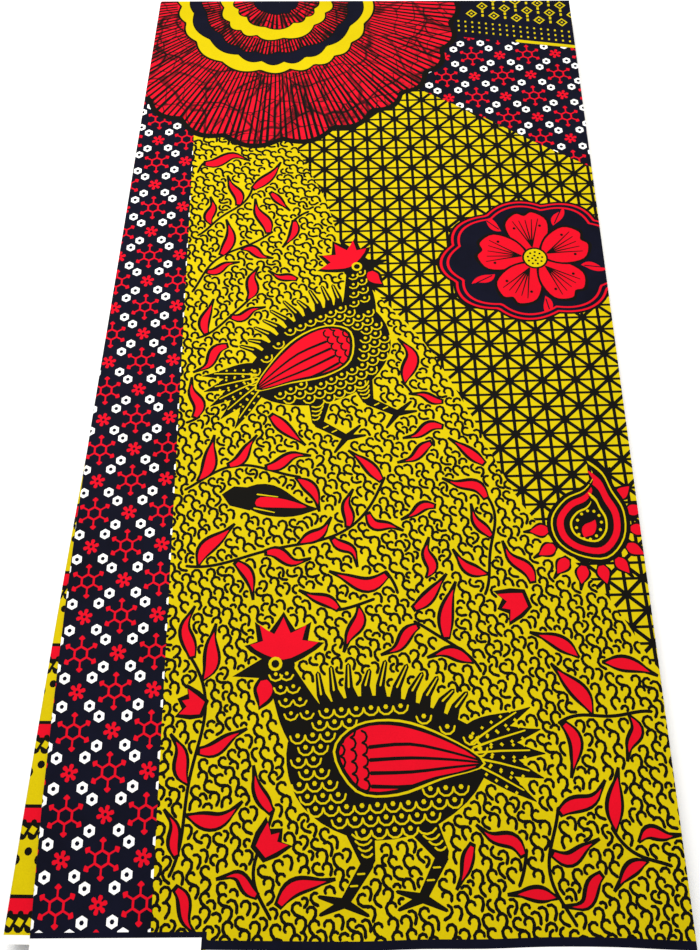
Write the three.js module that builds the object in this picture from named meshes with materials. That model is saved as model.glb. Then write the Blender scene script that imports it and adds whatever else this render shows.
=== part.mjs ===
// Six yards of wax print cotton, folded selvedge to selvedge and then leaf over leaf into a flat bundle.
// Millimetres. +X runs across the leaves, +Y from the selvedges to the centre fold, +Z up from the
// surface that the bundle lies on. The origin is under the middle of the bundle.
import * as THREE from 'three';

// The cut of the cloth, and the leaf that it is folded down to
const CLOTH_LENGTH = 5490;
const CLOTH_WIDTH = 1172;
const LEAF_WIDTH = 290;
const LEAF_LENGTH = CLOTH_WIDTH / 2;
const LEAF_COUNT = Math.round(CLOTH_LENGTH / LEAF_WIDTH);

// A leaf is two layers of cloth and the air between them. Leaves under load are pressed thinner.
const LEAF_THICKNESS = 1.0;
const FOLD_AIR = 0.4;
const FOLD_HEIGHT = 2 * LEAF_THICKNESS + FOLD_AIR;
const PRESSED_LEAF = 0.65;
const SEAT_GAP = 0.3;

// Three folds show as pieces of their own, of two leaves each; the rest are one pressed block
const SHOWN_FOLDS = 3;
const BLOCK_LEAVES = LEAF_COUNT - 2 * SHOWN_FOLDS;
const BLOCK_HEIGHT = BLOCK_LEAVES * PRESSED_LEAF;
const BLOCK_BASE = FOLD_HEIGHT + SEAT_GAP;
const SKEWED_BASE = BLOCK_BASE + BLOCK_HEIGHT + SEAT_GAP;
const TOP_BASE = SKEWED_BASE + FOLD_HEIGHT + SEAT_GAP;

// How far an edge lies outside the half width, at shares of the way from selvedges to centre fold
const TOP_FOLDED_EDGE = [
  { along: 0, out: -4.6 },
  { along: 0.12, out: -0.6 },
  { along: 0.35, out: 2.6 },
  { along: 0.6, out: 0.9 },
  { along: 1, out: -2.2 },
];
const SKEWED_FOLDED_EDGE = [
  { along: 0, out: 8.6 },
  { along: 0.25, out: 6.2 },
  { along: 0.45, out: 2.8 },
  { along: 0.7, out: -1.6 },
  { along: 1, out: -4.2 },
];
const BOTTOM_FOLDED_EDGE = [
  { along: 0, out: -0.4 },
  { along: 0.5, out: -1.4 },
  { along: 1, out: -0.8 },
];
const CUT_EDGE_INSET = { top: 0, underTop: 1.6, skewed: 1.2, bottom: 3 };
const SKEWED_SELVEDGE_INSET = 5;
const BOTTOM_SELVEDGE_INSET = 3;
const BOTTOM_CENTRE_INSET = 2;

// The top leaf lies loose: it swells a little between its edges
const TOP_SWELL = 0.9;

// The block's four sides step in and out, leaf by leaf, and round off towards its top and bottom
const BLOCK_INSET = { left: 3.4, right: 1.8, selvedge: 3, centre: 1.2 };
const LEAF_GROOVE = 1.1;
const BLOCK_ROUNDING = 1.4;
const BLOCK_CORNER_RADIUS = 3;

// How finely the shapes are cut into faces
const LEAF_STEPS = 9;
const NOSE_STEPS = 6;
const LENGTH_STEPS = 18;
const BLOCK_SIDE_STEPS = 4;
const BLOCK_CORNER_STEPS = 3;
const BLOCK_LEVELS_PER_LEAF = 4;

// The centre fold rounds off the far end of each leaf over this length, in these steps, and thins it
// by this share at the very end
const CENTRE_ROUNDING = 0.8;
const CENTRE_ROUNDING_STEPS = [0, 0.5, 0.85, 1];
const CENTRE_THINNING = 0.9;

// A value read smoothly from a table of rows, as one cubic from each row to the next
function readTable(table, along) {
  const last = table.length - 1;
  let row = 0;
  while (row < last - 1 && along > table[row + 1].along) row += 1;
  const slopeAt = (index) => {
    const before = table[Math.max(index - 1, 0)];
    const after = table[Math.min(index + 1, last)];
    return (after.out - before.out) / (after.along - before.along);
  };
  const start = table[row];
  const end = table[row + 1];
  const span = end.along - start.along;
  const t = (along - start.along) / span;
  const startPull = slopeAt(row) * span;
  const endPull = slopeAt(row + 1) * span;
  const startShare = 2 * t ** 3 - 3 * t ** 2 + 1;
  const endShare = 3 * t ** 2 - 2 * t ** 3;
  const startPullShare = t ** 3 - 2 * t ** 2 + t;
  const endPullShare = t ** 3 - t ** 2;
  return startShare * start.out + endShare * end.out + startPullShare * startPull + endPullShare * endPull;
}

// One closed body lofted through rings of equal length. caps lists each end face as ring indices.
function loft(rings, caps) {
  const count = rings[0].length;
  const vertices = rings.flat();
  const positions = vertices.flatMap((vertex) => vertex.toArray());
  const indices = [];
  for (let ring = 0; ring < rings.length - 1; ring += 1) {
    for (let side = 0; side < count; side += 1) {
      const next = (side + 1) % count;
      const a = ring * count + side;
      const b = ring * count + next;
      indices.push(a, b, b + count, a, b + count, a + count);
    }
  }
  const lastRing = (rings.length - 1) * count;
  for (const [a, b, c] of caps) {
    indices.push(c, b, a);
    indices.push(lastRing + a, lastRing + b, lastRing + c);
  }
  const geometry = new THREE.BufferGeometry();
  geometry.setAttribute('position', new THREE.Float32BufferAttribute(positions, 3));
  geometry.setIndex(indices);
  geometry.computeVertexNormals();
  return geometry;
}

// The middle line of a fold's section, from the upper leaf's free edge round the nose to the lower
// leaf's. It is drawn for a nose on the left; side is -1 for that and +1 for a nose on the right.
function foldMiddleLine({ nose, upperEnd, lowerEnd, base, swell, side }) {
  const radius = (FOLD_HEIGHT - LEAF_THICKNESS) / 2;
  const middle = base + FOLD_HEIGHT / 2;
  const noseCentre = nose - side * (radius + LEAF_THICKNESS / 2);
  const points = [];
  for (let step = 0; step < LEAF_STEPS; step += 1) {
    const across = step / LEAF_STEPS;
    const x = THREE.MathUtils.lerp(upperEnd, noseCentre, across);
    const rise = swell * Math.sin(Math.PI * across);
    const slope = (swell * Math.PI * Math.cos(Math.PI * across)) / (noseCentre - upperEnd);
    points.push({ x, z: middle + radius + rise, out: new THREE.Vector2(-slope, 1).normalize() });
  }
  for (let step = 0; step <= NOSE_STEPS; step += 1) {
    const angle = Math.PI * (0.5 - step / NOSE_STEPS);
    const out = new THREE.Vector2(side * Math.cos(angle), Math.sin(angle));
    points.push({ x: noseCentre + radius * out.x, z: middle + radius * out.y, out });
  }
  for (let step = 1; step <= LEAF_STEPS; step += 1) {
    const x = THREE.MathUtils.lerp(noseCentre, lowerEnd, step / LEAF_STEPS);
    points.push({ x, z: middle - radius, out: new THREE.Vector2(0, -1) });
  }
  return points;
}

// The ring round that section: its outer face, then its inner face back again
function foldRing(middleLine, y, thickness) {
  const face = (offset) => middleLine.map(
    ({ x, z, out }) => new THREE.Vector3(x + out.x * offset, y, z + out.y * offset),
  );
  return [...face(thickness / 2), ...face(-thickness / 2).reverse()];
}

// Where the rings of a fold stand along the cloth, and how thick its leaves are there
function foldStations(nearInset, farInset) {
  const near = -LEAF_LENGTH / 2 + nearInset;
  const far = LEAF_LENGTH / 2 - farInset;
  const stations = [];
  for (let step = 0; step < LENGTH_STEPS; step += 1) {
    const y = THREE.MathUtils.lerp(near, far - CENTRE_ROUNDING, step / LENGTH_STEPS);
    stations.push({ y, thickness: LEAF_THICKNESS });
  }
  for (const step of CENTRE_ROUNDING_STEPS) {
    const thickness = LEAF_THICKNESS * Math.sqrt(1 - (CENTRE_THINNING * step) ** 2);
    stations.push({ y: far - CENTRE_ROUNDING * (1 - step), thickness });
  }
  return stations;
}

// Two leaves joined by one rounded nose, as a wall of even thickness
function foldedPair({ base, side, foldedEdge, upperInset, lowerInset, nearInset, farInset, swell }) {
  const rings = foldStations(nearInset, farInset).map(({ y, thickness }) => {
    const along = THREE.MathUtils.clamp(y / LEAF_LENGTH + 0.5, 0, 1);
    const middleLine = foldMiddleLine({
      nose: side * (LEAF_WIDTH / 2 + readTable(foldedEdge, along)),
      upperEnd: -side * (LEAF_WIDTH / 2 - upperInset),
      lowerEnd: -side * (LEAF_WIDTH / 2 - lowerInset),
      base,
      swell: swell * Math.sin(Math.PI * along),
      side,
    });
    return foldRing(middleLine, y, thickness);
  });
  const half = rings[0].length / 2;
  const caps = [];
  for (let step = 0; step < half - 1; step += 1) {
    const mirror = 2 * half - 1 - step;
    caps.push([step, step + 1, mirror - 1], [step, mirror - 1, mirror]);
  }
  const ringsRunOutward = side > 0;
  return loft(ringsRunOutward ? rings : rings.reverse(), caps);
}

// The rounded rectangle that bounds the block at one height
function blockRing(z, { left, right, selvedge, centre }) {
  const xs = [-LEAF_WIDTH / 2 + left, LEAF_WIDTH / 2 - right];
  const ys = [-LEAF_LENGTH / 2 + selvedge, LEAF_LENGTH / 2 - centre];
  const r = BLOCK_CORNER_RADIUS;
  const corners = [
    { x: xs[1] - r, y: ys[0] + r, turn: -0.5 },
    { x: xs[1] - r, y: ys[1] - r, turn: 0 },
    { x: xs[0] + r, y: ys[1] - r, turn: 0.5 },
    { x: xs[0] + r, y: ys[0] + r, turn: 1 },
  ];
  const ring = [];
  corners.forEach((corner, index) => {
    for (let step = 0; step <= BLOCK_CORNER_STEPS; step += 1) {
      const angle = Math.PI * (corner.turn + (0.5 * step) / BLOCK_CORNER_STEPS);
      ring.push(new THREE.Vector3(corner.x + r * Math.cos(angle), corner.y + r * Math.sin(angle), z));
    }
    const next = corners[(index + 1) % corners.length];
    const end = Math.PI * next.turn;
    const target = new THREE.Vector3(next.x + r * Math.cos(end), next.y + r * Math.sin(end), z);
    const start = ring[ring.length - 1];
    for (let step = 1; step < BLOCK_SIDE_STEPS; step += 1) {
      ring.push(start.clone().lerp(target, step / BLOCK_SIDE_STEPS));
    }
  });
  return ring;
}

// How far a side is drawn in at a height counted in leaves: 0 on the fullest line of each fold
function grooveDepth(leaves, leavesPerFold, firstFold) {
  const phase = (leaves - firstFold) / leavesPerFold;
  return LEAF_GROOVE * (1 - Math.sqrt(Math.abs(Math.sin(Math.PI * phase))));
}

// The leaves that stay hidden, as one pressed block. Noses pair its leaves on the left and, one leaf
// higher, on the right; every leaf shows its own edge at the selvedges and at the centre fold.
function hiddenLeaves() {
  const levels = BLOCK_LEAVES * BLOCK_LEVELS_PER_LEAF;
  const rings = [];
  for (let level = 0; level <= levels; level += 1) {
    const leaves = level / BLOCK_LEVELS_PER_LEAF;
    const rounding = BLOCK_ROUNDING * (2 * leaves / BLOCK_LEAVES - 1) ** 2;
    rings.push(blockRing(BLOCK_BASE + leaves * PRESSED_LEAF, {
      left: BLOCK_INSET.left + rounding + grooveDepth(leaves, 2, 0),
      right: BLOCK_INSET.right + rounding + grooveDepth(leaves, 2, 1),
      selvedge: BLOCK_INSET.selvedge + rounding + grooveDepth(leaves, 1, 0),
      centre: BLOCK_INSET.centre + rounding + grooveDepth(leaves, 1, 0),
    }));
  }
  const caps = [];
  for (let side = 1; side < rings[0].length - 1; side += 1) caps.push([0, side, side + 1]);
  return loft(rings, caps);
}

function printedCotton(color) {
  return new THREE.MeshStandardMaterial({ color, roughness: 0.82, metalness: 0, side: THREE.DoubleSide });
}

function namedPiece(name, geometry, material) {
  const piece = new THREE.Mesh(geometry, material);
  piece.name = name;
  return piece;
}

const bundle = new THREE.Group();

bundle.add(namedPiece('bottom_fold', foldedPair({
  base: 0,
  side: 1,
  foldedEdge: BOTTOM_FOLDED_EDGE,
  upperInset: CUT_EDGE_INSET.bottom,
  lowerInset: CUT_EDGE_INSET.bottom,
  nearInset: BOTTOM_SELVEDGE_INSET,
  farInset: BOTTOM_CENTRE_INSET,
  swell: 0,
}), printedCotton('#b3201f')));

bundle.add(namedPiece('hidden_leaves', hiddenLeaves(), printedCotton('#8f7d14')));

bundle.add(namedPiece('skewed_fold', foldedPair({
  base: SKEWED_BASE,
  side: -1,
  foldedEdge: SKEWED_FOLDED_EDGE,
  upperInset: CUT_EDGE_INSET.skewed,
  lowerInset: CUT_EDGE_INSET.skewed,
  nearInset: SKEWED_SELVEDGE_INSET,
  farInset: SEAT_GAP,
  swell: 0,
}), printedCotton('#d1b10f')));

bundle.add(namedPiece('top_fold', foldedPair({
  base: TOP_BASE,
  side: -1,
  foldedEdge: TOP_FOLDED_EDGE,
  upperInset: CUT_EDGE_INSET.top,
  lowerInset: CUT_EDGE_INSET.underTop,
  nearInset: 0,
  farInset: 0,
  swell: TOP_SWELL,
}), printedCotton('#d8bb0c')));

// The bundle is centred on the origin by the edges that reach furthest to each side
const reach = new THREE.Box3().setFromObject(bundle);
bundle.position.x = -(reach.min.x + reach.max.x) / 2;
bundle.position.y = -(reach.min.y + reach.max.y) / 2;

export default bundle;
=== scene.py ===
"""Six yards of wax print cotton, folded flat and lying on a pale table."""

import math
import random

import bpy
import numpy as np
from mathutils import Matrix, Vector
from mathutils.geometry import delaunay_2d_cdt


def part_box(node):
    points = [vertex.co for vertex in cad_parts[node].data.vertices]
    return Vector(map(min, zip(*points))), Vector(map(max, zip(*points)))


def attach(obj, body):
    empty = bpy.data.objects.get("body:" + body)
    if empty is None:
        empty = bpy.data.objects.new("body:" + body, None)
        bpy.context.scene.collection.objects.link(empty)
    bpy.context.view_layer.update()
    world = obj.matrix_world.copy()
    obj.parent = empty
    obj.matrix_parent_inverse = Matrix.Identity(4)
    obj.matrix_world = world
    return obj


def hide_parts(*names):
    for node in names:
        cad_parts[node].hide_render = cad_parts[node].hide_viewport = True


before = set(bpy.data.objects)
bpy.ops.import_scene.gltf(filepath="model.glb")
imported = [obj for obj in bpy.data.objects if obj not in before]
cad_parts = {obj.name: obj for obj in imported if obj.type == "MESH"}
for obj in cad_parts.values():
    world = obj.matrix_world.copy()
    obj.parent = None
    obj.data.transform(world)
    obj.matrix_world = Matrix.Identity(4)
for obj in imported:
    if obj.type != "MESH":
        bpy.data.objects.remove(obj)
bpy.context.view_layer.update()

# ------------------------------------------------------------------------------------------------
# The plain pale table that the bundle lies on, and the eye that looks down on it from its near end.
# The light is soft: one wide square lamp overhead, and the pale room all round.
# ------------------------------------------------------------------------------------------------

MM = 0.001
SELVEDGE_WIDTH = 8.0
LEAF_WIDTH = 290.0

SWELL_ROOM = 0.9  # what the top fold's solid leaves over the flat cloth, for it to swell

top_low, top_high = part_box("top_fold")
LEAF_MIDDLE = top_high.x - LEAF_WIDTH / 2 * MM
PRINT_START = top_low.y + SELVEDGE_WIDTH * MM
CLOTH_TOP = top_high.z - SWELL_ROOM * MM

# The eye's place, in metres from the middle of the line where the print starts, and its angles
EYE_ACROSS = 0.0008
EYE_ALONG = 0.0537
EYE_HEIGHT = 0.3928
EYE_DOWN = math.radians(67.5)
EYE_TURN = math.radians(2.02)
EYE_ROLL = math.radians(-1.54)
EYE_REACH = 800.0
FRAME_HEIGHT = 950.0
SENSOR = 36.0
NEAREST_SEEN = 0.01

TABLE_HALF = 6.0
TABLE_COLOUR = (0.93, 0.93, 0.93, 1)
TABLE_ROUGHNESS = 0.7

ROOM_COLOUR = (0.95, 0.97, 1.0, 1)
ROOM_STRENGTH = 0.48
LAMP_PLACE = (-0.12, 0.19, 0.78)
LAMP_SIZE = 0.5
LAMP_POWER = 8.3
LAMP_COLOUR = (1.0, 0.99, 0.97)


def set_camera():
    camera_data = bpy.data.cameras.new("eye")
    camera_data.sensor_width = SENSOR
    camera_data.lens = EYE_REACH / FRAME_HEIGHT * SENSOR
    camera_data.clip_start = NEAREST_SEEN
    camera = bpy.data.objects.new("eye", camera_data)
    place = Matrix.Translation((LEAF_MIDDLE + EYE_ACROSS, PRINT_START + EYE_ALONG, CLOTH_TOP + EYE_HEIGHT))
    turn = Matrix.Rotation(EYE_TURN, 4, "Z")
    tilt = Matrix.Rotation(math.pi / 2 - EYE_DOWN, 4, "X")
    roll = Matrix.Rotation(EYE_ROLL, 4, "Z")
    camera.matrix_world = place @ turn @ tilt @ roll
    bpy.context.collection.objects.link(camera)
    bpy.context.scene.camera = camera


def lay_table():
    half = TABLE_HALF
    mesh = bpy.data.meshes.new("table")
    corners = [(-half, -half, 0), (half, -half, 0), (half, half, 0), (-half, half, 0)]
    mesh.from_pydata(corners, [], [(0, 1, 2, 3)])
    table = bpy.data.objects.new("table", mesh)
    bpy.context.collection.objects.link(table)
    paint = bpy.data.materials.new("pale_table")
    paint.use_nodes = True
    shader = paint.node_tree.nodes["Principled BSDF"]
    shader.inputs["Base Color"].default_value = TABLE_COLOUR
    shader.inputs["Roughness"].default_value = TABLE_ROUGHNESS
    mesh.materials.append(paint)


def set_room_light():
    world = bpy.data.worlds.new("room")
    world.use_nodes = True
    background = world.node_tree.nodes["Background"]
    background.inputs["Color"].default_value = ROOM_COLOUR
    background.inputs["Strength"].default_value = ROOM_STRENGTH
    bpy.context.scene.world = world
    bpy.context.scene.view_settings.view_transform = "Standard"


def hang_lamp():
    lamp_data = bpy.data.lights.new("window", "AREA")
    lamp_data.shape = "SQUARE"
    lamp_data.size = LAMP_SIZE
    lamp_data.energy = LAMP_POWER
    lamp_data.color = LAMP_COLOUR
    lamp = bpy.data.objects.new("window", lamp_data)
    lamp.location = LAMP_PLACE
    lamp.rotation_euler = (-Vector(LAMP_PLACE)).to_track_quat("-Z", "Y").to_euler()
    bpy.context.collection.objects.link(lamp)


set_camera()
lay_table()
set_room_light()
hang_lamp()

# ------------------------------------------------------------------------------------------------
# The top fold: two leaves of printed cotton joined by a rounded nose on the left.
# Each leaf is the cloth doubled. The print is dyed through, so it is cut into the cloth's own
# faces: one ink to a face, from outlines drawn here in millimetres.
# ------------------------------------------------------------------------------------------------

# Outlines, as arrays of points in millimetres of the flat cloth: x across the leaf from its
# middle, y along it from the line where the print starts


def turned(points, degrees):
    angle = math.radians(degrees)
    across = np.array([math.cos(angle), math.sin(angle)])
    along = np.array([-math.sin(angle), math.cos(angle)])
    points = np.asarray(points, float)
    return points[:, :1] * across + points[:, 1:] * along


def placed(points, x, y, size=1.0, turn=0.0, facing=1):
    points = np.asarray(points, float) * (size * facing, size)
    return turned(points, turn) + (x, y)


def ring_of(radius, count, start=0.0):
    angles = math.radians(start) + np.arange(count) * 2 * math.pi / count
    return np.column_stack([radius * np.cos(angles), radius * np.sin(angles)])


def arc_of(centre, radius, start, sweep, steps):
    angles = np.radians(start + sweep * np.arange(steps + 1) / steps)
    return np.column_stack([centre[0] + radius * np.cos(angles), centre[1] + radius * np.sin(angles)])


def smooth_line(points, steps=4, closed=False):
    """A line through all the points, curved between them"""
    points = np.asarray(points, float)
    if closed:
        before, after, last = np.roll(points, 1, 0), np.roll(points, -1, 0), len(points)
    else:
        before = np.vstack([points[:1], points[:-1]])
        after = np.vstack([points[1:], points[-1:]])
        last = len(points) - 1
    out = []
    for start in range(last):
        end = (start + 1) % len(points)
        leave = (after[start] - before[start]) / 2
        arrive = (after[end] - before[end]) / 2
        for t in np.arange(steps) / steps:
            out.append(
                points[start] * (2 * t**3 - 3 * t**2 + 1)
                + points[end] * (3 * t**2 - 2 * t**3)
                + leave * (t**3 - 2 * t**2 + t)
                + arrive * (t**3 - t**2)
            )
    if not closed:
        out.append(points[-1])
    return np.array(out)


def ribbon(points, width, end_width=None):
    """The outline of a stroke with rounded ends, drawn along a line of points"""
    points = np.asarray(points, float)
    end_width = width if end_width is None else end_width
    halves = np.linspace(width / 2, end_width / 2, len(points))[:, None]
    along = np.gradient(points, axis=0)
    along /= np.maximum(np.linalg.norm(along, axis=1, keepdims=True), 1e-9)
    aside = np.column_stack([-along[:, 1], along[:, 0]])
    head = points[:1] - along[:1] * halves[0]
    tip = points[-1:] + along[-1:] * halves[-1]
    return np.vstack([head, points - aside * halves, tip, (points + aside * halves)[::-1]])


shapes = []  # the print, in the order it is laid: (ink, outline, the shape that bounds it)


def ink_shape(ink, outline, within=None):
    shapes.append((ink, np.asarray(outline, float), within))
    return len(shapes) - 1


# The molecule repeat: red six-armed stars, large and small, and pairs of white rings on navy
STAR_SPACING = 18.2
PATCH_SPACING = 18.8
STAR_RING = 3.4
STAR_LINE = 1.0
STAR_ARM = 6.6
STAR_TIP = 8.9
STAR_TIP_WIDTH = 1.55
SMALL_STAR_REACH = 4.0
SMALL_STAR_HOLE = 0.85
RING_RADIUS = 2.85
RING_HOLE = 1.1
RING_OFFSET = 0.137


def inside_outline(point, outline):
    x, y = point
    inside = False
    for (x0, y0), (x1, y1) in zip(outline, np.roll(outline, -1, 0)):
        if (y0 > y) != (y1 > y) and x < (x1 - x0) * (y - y0) / (y1 - y0) + x0:
            inside = not inside
    return inside


def touches(field, middle, reach):
    """Whether a motif that reaches so far from its middle shows on a field of the print"""
    around = [middle, *(ring_of(reach, 8) + middle)]
    return any(inside_outline(point, field) for point in around)


def spokes(arm, count, start):
    """One outline of all the arms round a star, from the outline of half of the first one"""
    arm = np.array(arm)
    whole = np.vstack([arm * (1, -1), arm[::-1]])
    return np.vstack([turned(whole, start + 360 / count * side) for side in range(count)])


def large_star(x, y, turn, within):
    foot = STAR_RING + STAR_LINE * 0.45
    half = STAR_LINE * 0.42
    arm = [(foot, half), (STAR_ARM, half), (STAR_ARM + 0.75, STAR_TIP_WIDTH)]
    arm += [(STAR_ARM + 1.2, STAR_TIP_WIDTH * 0.9), (STAR_TIP, 0.25)]
    ink_shape("red", placed(spokes(arm, 6, 90), x, y, turn=turn), within)
    ink_shape("navy", placed(ring_of(STAR_RING - STAR_LINE / 2, 6, 90), x, y, turn=turn), within)


def small_star(x, y, turn, within):
    arm = [(1.8, 0.7), (SMALL_STAR_REACH - 0.9, 1.05), (SMALL_STAR_REACH, 0.6)]
    ink_shape("red", placed(spokes(arm, 6, 15), x, y, turn=turn), within)
    ink_shape("navy", placed(ring_of(SMALL_STAR_HOLE, 6), x, y, turn=turn), within)


def white_ring(x, y, turn, within):
    ink_shape("white", placed(ring_of(RING_RADIUS, 6, 90), x, y, turn=turn), within)
    ink_shape("navy", placed(ring_of(RING_HOLE, 6), x, y, turn=turn), within)


def molecule_repeat(origin, spacing, turn, columns, rows, within):
    """Stars on a square lattice, large and small by turns, with two rings between each four"""
    field = shapes[within][1]
    for i in range(*columns):
        for j in range(*rows):
            middle = placed([(i * spacing, j * spacing)], *origin, turn=turn)[0]
            if touches(field, middle, STAR_TIP):
                star = large_star if (i + j) % 2 == 0 else small_star
                star(*middle, turn, within)
            lean = 1 if (i + j) % 2 else -1
            for sign in (-1, 1):
                place = np.array([i, j]) + 0.5 + sign * RING_OFFSET * np.array([1, lean])
                middle = placed([place * spacing], *origin, turn=turn)[0]
                if touches(field, middle, RING_RADIUS):
                    white_ring(*middle, turn, within)


# The strut lattice: yellow triangles between black uprights, rungs and diagonals
LATTICE_ACROSS = 9.2
LATTICE_ALONG = 8.15
UPRIGHT = 1.85
RUNG = 1.45
KNOT_ALONG = 2.15
KNOT_ACROSS = 2.3


def strut_lattice(origin, turn, columns, rows, within):
    """Two triangles to a cell; the diagonal leans the other way in each next cell"""
    cell = np.array([LATTICE_ACROSS, LATTICE_ALONG])
    top = LATTICE_ALONG - RUNG / 2
    upper = np.array([(UPRIGHT / 2, top), (UPRIGHT / 2, KNOT_ALONG), (LATTICE_ACROSS - KNOT_ACROSS, top)])
    lower = cell - upper
    for i in range(*columns):
        for j in range(*rows):
            middle = placed([cell * (i + 0.5, j + 0.5)], *origin, turn=turn)[0]
            if not touches(shapes[within][1], middle, LATTICE_ACROSS / 2):
                continue
            for triangle in (upper, lower):
                if (i + j) % 2:
                    triangle = np.column_stack([LATTICE_ACROSS - triangle[:, 0], triangle[:, 1]])
                outline = placed(triangle + cell * (i, j), *origin, turn=turn)
                ink_shape("yellow", outline, within)


# The great wheel: rings of wavy outline round a navy hub, its red rings cut by fine black rays
WHEEL_CENTRE = (-60.5, 582.0)
WHEEL_STRETCH = 1.07
WHEEL_STEPS = 240
WHEEL_RINGS = [  # ink, outer radius, size and number of its waves, rays cut into it and their inner end
    ("black", 127.5, 3.4, 27, 0, 0),
    ("red", 123.7, 3.4, 27, 188, 70.0),
    ("black", 70.4, 1.9, 21, 0, 0),
    ("yellow", 68.9, 1.9, 21, 0, 0),
    ("black", 60.8, 1.8, 19, 0, 0),
    ("navy", 60.0, 1.8, 19, 0, 0),
    ("black", 52.6, 1.5, 17, 0, 0),
    ("red", 51.7, 1.5, 17, 132, 40.0),
    ("black", 41.0, 1.7, 15, 0, 0),
    ("yellow", 39.7, 1.7, 15, 0, 0),
    ("black", 29.9, 1.5, 13, 0, 0),
    ("red", 28.9, 1.5, 13, 54, 16.0),
    ("black", 17.2, 1.0, 9, 0, 0),
    ("navy", 16.4, 1.0, 9, 0, 0),
]
RAY_STRAY = 0.16  # as a share of the room between two rays
RAY_HALF_WIDTH = (0.65, 1.15)
RAY_FOOT_HALF_WIDTH = 0.56
OFF_CLOTH = 0.1  # the sine past which a ray lies off the far end of the cloth
FIRST_WAVE = 0.4
NEXT_WAVE = 1.3


def wheel_point(radius, angle):
    x, y = WHEEL_CENTRE
    return (x + radius * np.cos(angle), y + WHEEL_STRETCH * radius * np.sin(angle))


def wavy_radius(radius, wave, waves, angle, seed):
    drawn = np.abs(np.sin(waves / 2 * angle + 1.1 * np.sin(3 * angle + seed) + seed))
    return radius + wave * (1.6 * drawn - 1) + 0.5 * wave * np.sin(5 * angle + 2 * seed)


def ink_ray(angle, half_angle, inner, outer, within):
    foot = RAY_FOOT_HALF_WIDTH / inner
    corners = [(inner, -foot), (outer, -half_angle), (outer, half_angle), (inner, foot)]
    ink_shape("black", [wheel_point(radius, angle + aside) for radius, aside in corners], within)


def great_wheel():
    angles = np.arange(WHEEL_STEPS) * 2 * math.pi / WHEEL_STEPS
    seed = FIRST_WAVE
    for ink, radius, wave, waves, rays, ray_start in WHEEL_RINGS:
        seed += NEXT_WAVE if ink == "black" else 0
        ring = np.column_stack(wheel_point(wavy_radius(radius, wave, waves, angles, seed), angles))
        within = ink_shape("wheel_red" if ink == "red" else ink, ring)
        hand = random.Random(int(radius))
        for ray in range(rays):
            angle = (ray + hand.uniform(-RAY_STRAY, RAY_STRAY)) * 2 * math.pi / rays
            if math.sin(angle) > OFF_CLOTH:
                continue
            half_angle = hand.uniform(*RAY_HALF_WIDTH) / radius
            ink_ray(angle, half_angle, ray_start, radius + wave + 2, within)


# What is already printed, on a fine grid of square cells, so that later strokes keep clear of it
CELL = 0.25
GRID_LOW = np.array([-150.0, -6.0])
GRID_SIZE = (1200, 2420)
taken = np.ones(GRID_SIZE, bool)


def cells_of(points):
    cells = np.floor((np.asarray(points) - GRID_LOW) / CELL).astype(int)
    return np.clip(cells, 0, np.array(GRID_SIZE) - 1)


def disc_of_cells(reach):
    size = int(reach / CELL) + 1
    i, j = np.mgrid[-size : size + 1, -size : size + 1]
    inside = (i * i + j * j) * CELL * CELL <= reach * reach
    return np.column_stack([i[inside], j[inside]])


def take_line(points, reach):
    cells = (cells_of(points)[:, None, :] + disc_of_cells(reach)[None]).reshape(-1, 2)
    cells = np.clip(cells, 0, np.array(GRID_SIZE) - 1)
    taken[cells[:, 0], cells[:, 1]] = True


def close_points(points, gap=0.5):
    """The same closed outline with more points, about one every gap"""
    ends = np.roll(points, -1, 0)
    out = []
    for start, end in zip(points, ends):
        count = max(1, int(np.linalg.norm(end - start) / gap))
        out.append(start + (end - start) * (np.arange(count) / count)[:, None])
    return np.vstack(out)


def inside_mask(outline, low, high):
    """Which cells from low to high lie inside an outline"""
    centres = [GRID_LOW[k] + (np.arange(low[k], high[k]) + 0.5) * CELL for k in (0, 1)]
    x, y = np.meshgrid(*centres, indexing="ij")
    inside = np.zeros(x.shape, bool)
    for (x0, y0), (x1, y1) in zip(outline, np.roll(outline, -1, 0)):
        if y0 == y1:
            continue
        crosses = (y0 > y) != (y1 > y)
        inside ^= crosses & (x < (x1 - x0) * (y - y0) / (y1 - y0) + x0)
    return inside


def take_shape(outline, reach, value=True):
    outline = np.asarray(outline, float)
    low, high = cells_of(outline.min(0)), cells_of(outline.max(0)) + 1
    window = taken[low[0] : high[0], low[1] : high[1]]
    window[inside_mask(outline, low, high)] = value
    if reach:
        take_line(close_points(outline), reach)


def is_free(points):
    cells = cells_of(points)
    return not taken[cells[:, 0], cells[:, 1]].any()


# Leaves on thin vines: red, with a black outline that is printed a little out of register
OUTLINE = 1.7
REGISTER = np.array([0.22, -0.16])
VINE = 1.6
VINE_CLEAR = 1.6
LEAF_CLEAR = 1.0
LEAF_SPACING = (9, 18)
LEAF_LEAN = (25, 80)
VINE_LEAF_LENGTH = (15, 25)
LOOSE_LEAF_LENGTH = (13, 24)
LEAF_CURL = 0.09
VINE_STEP = 2.5
LEAF_FIELD = ((-104, 5), (143, 440))


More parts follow.
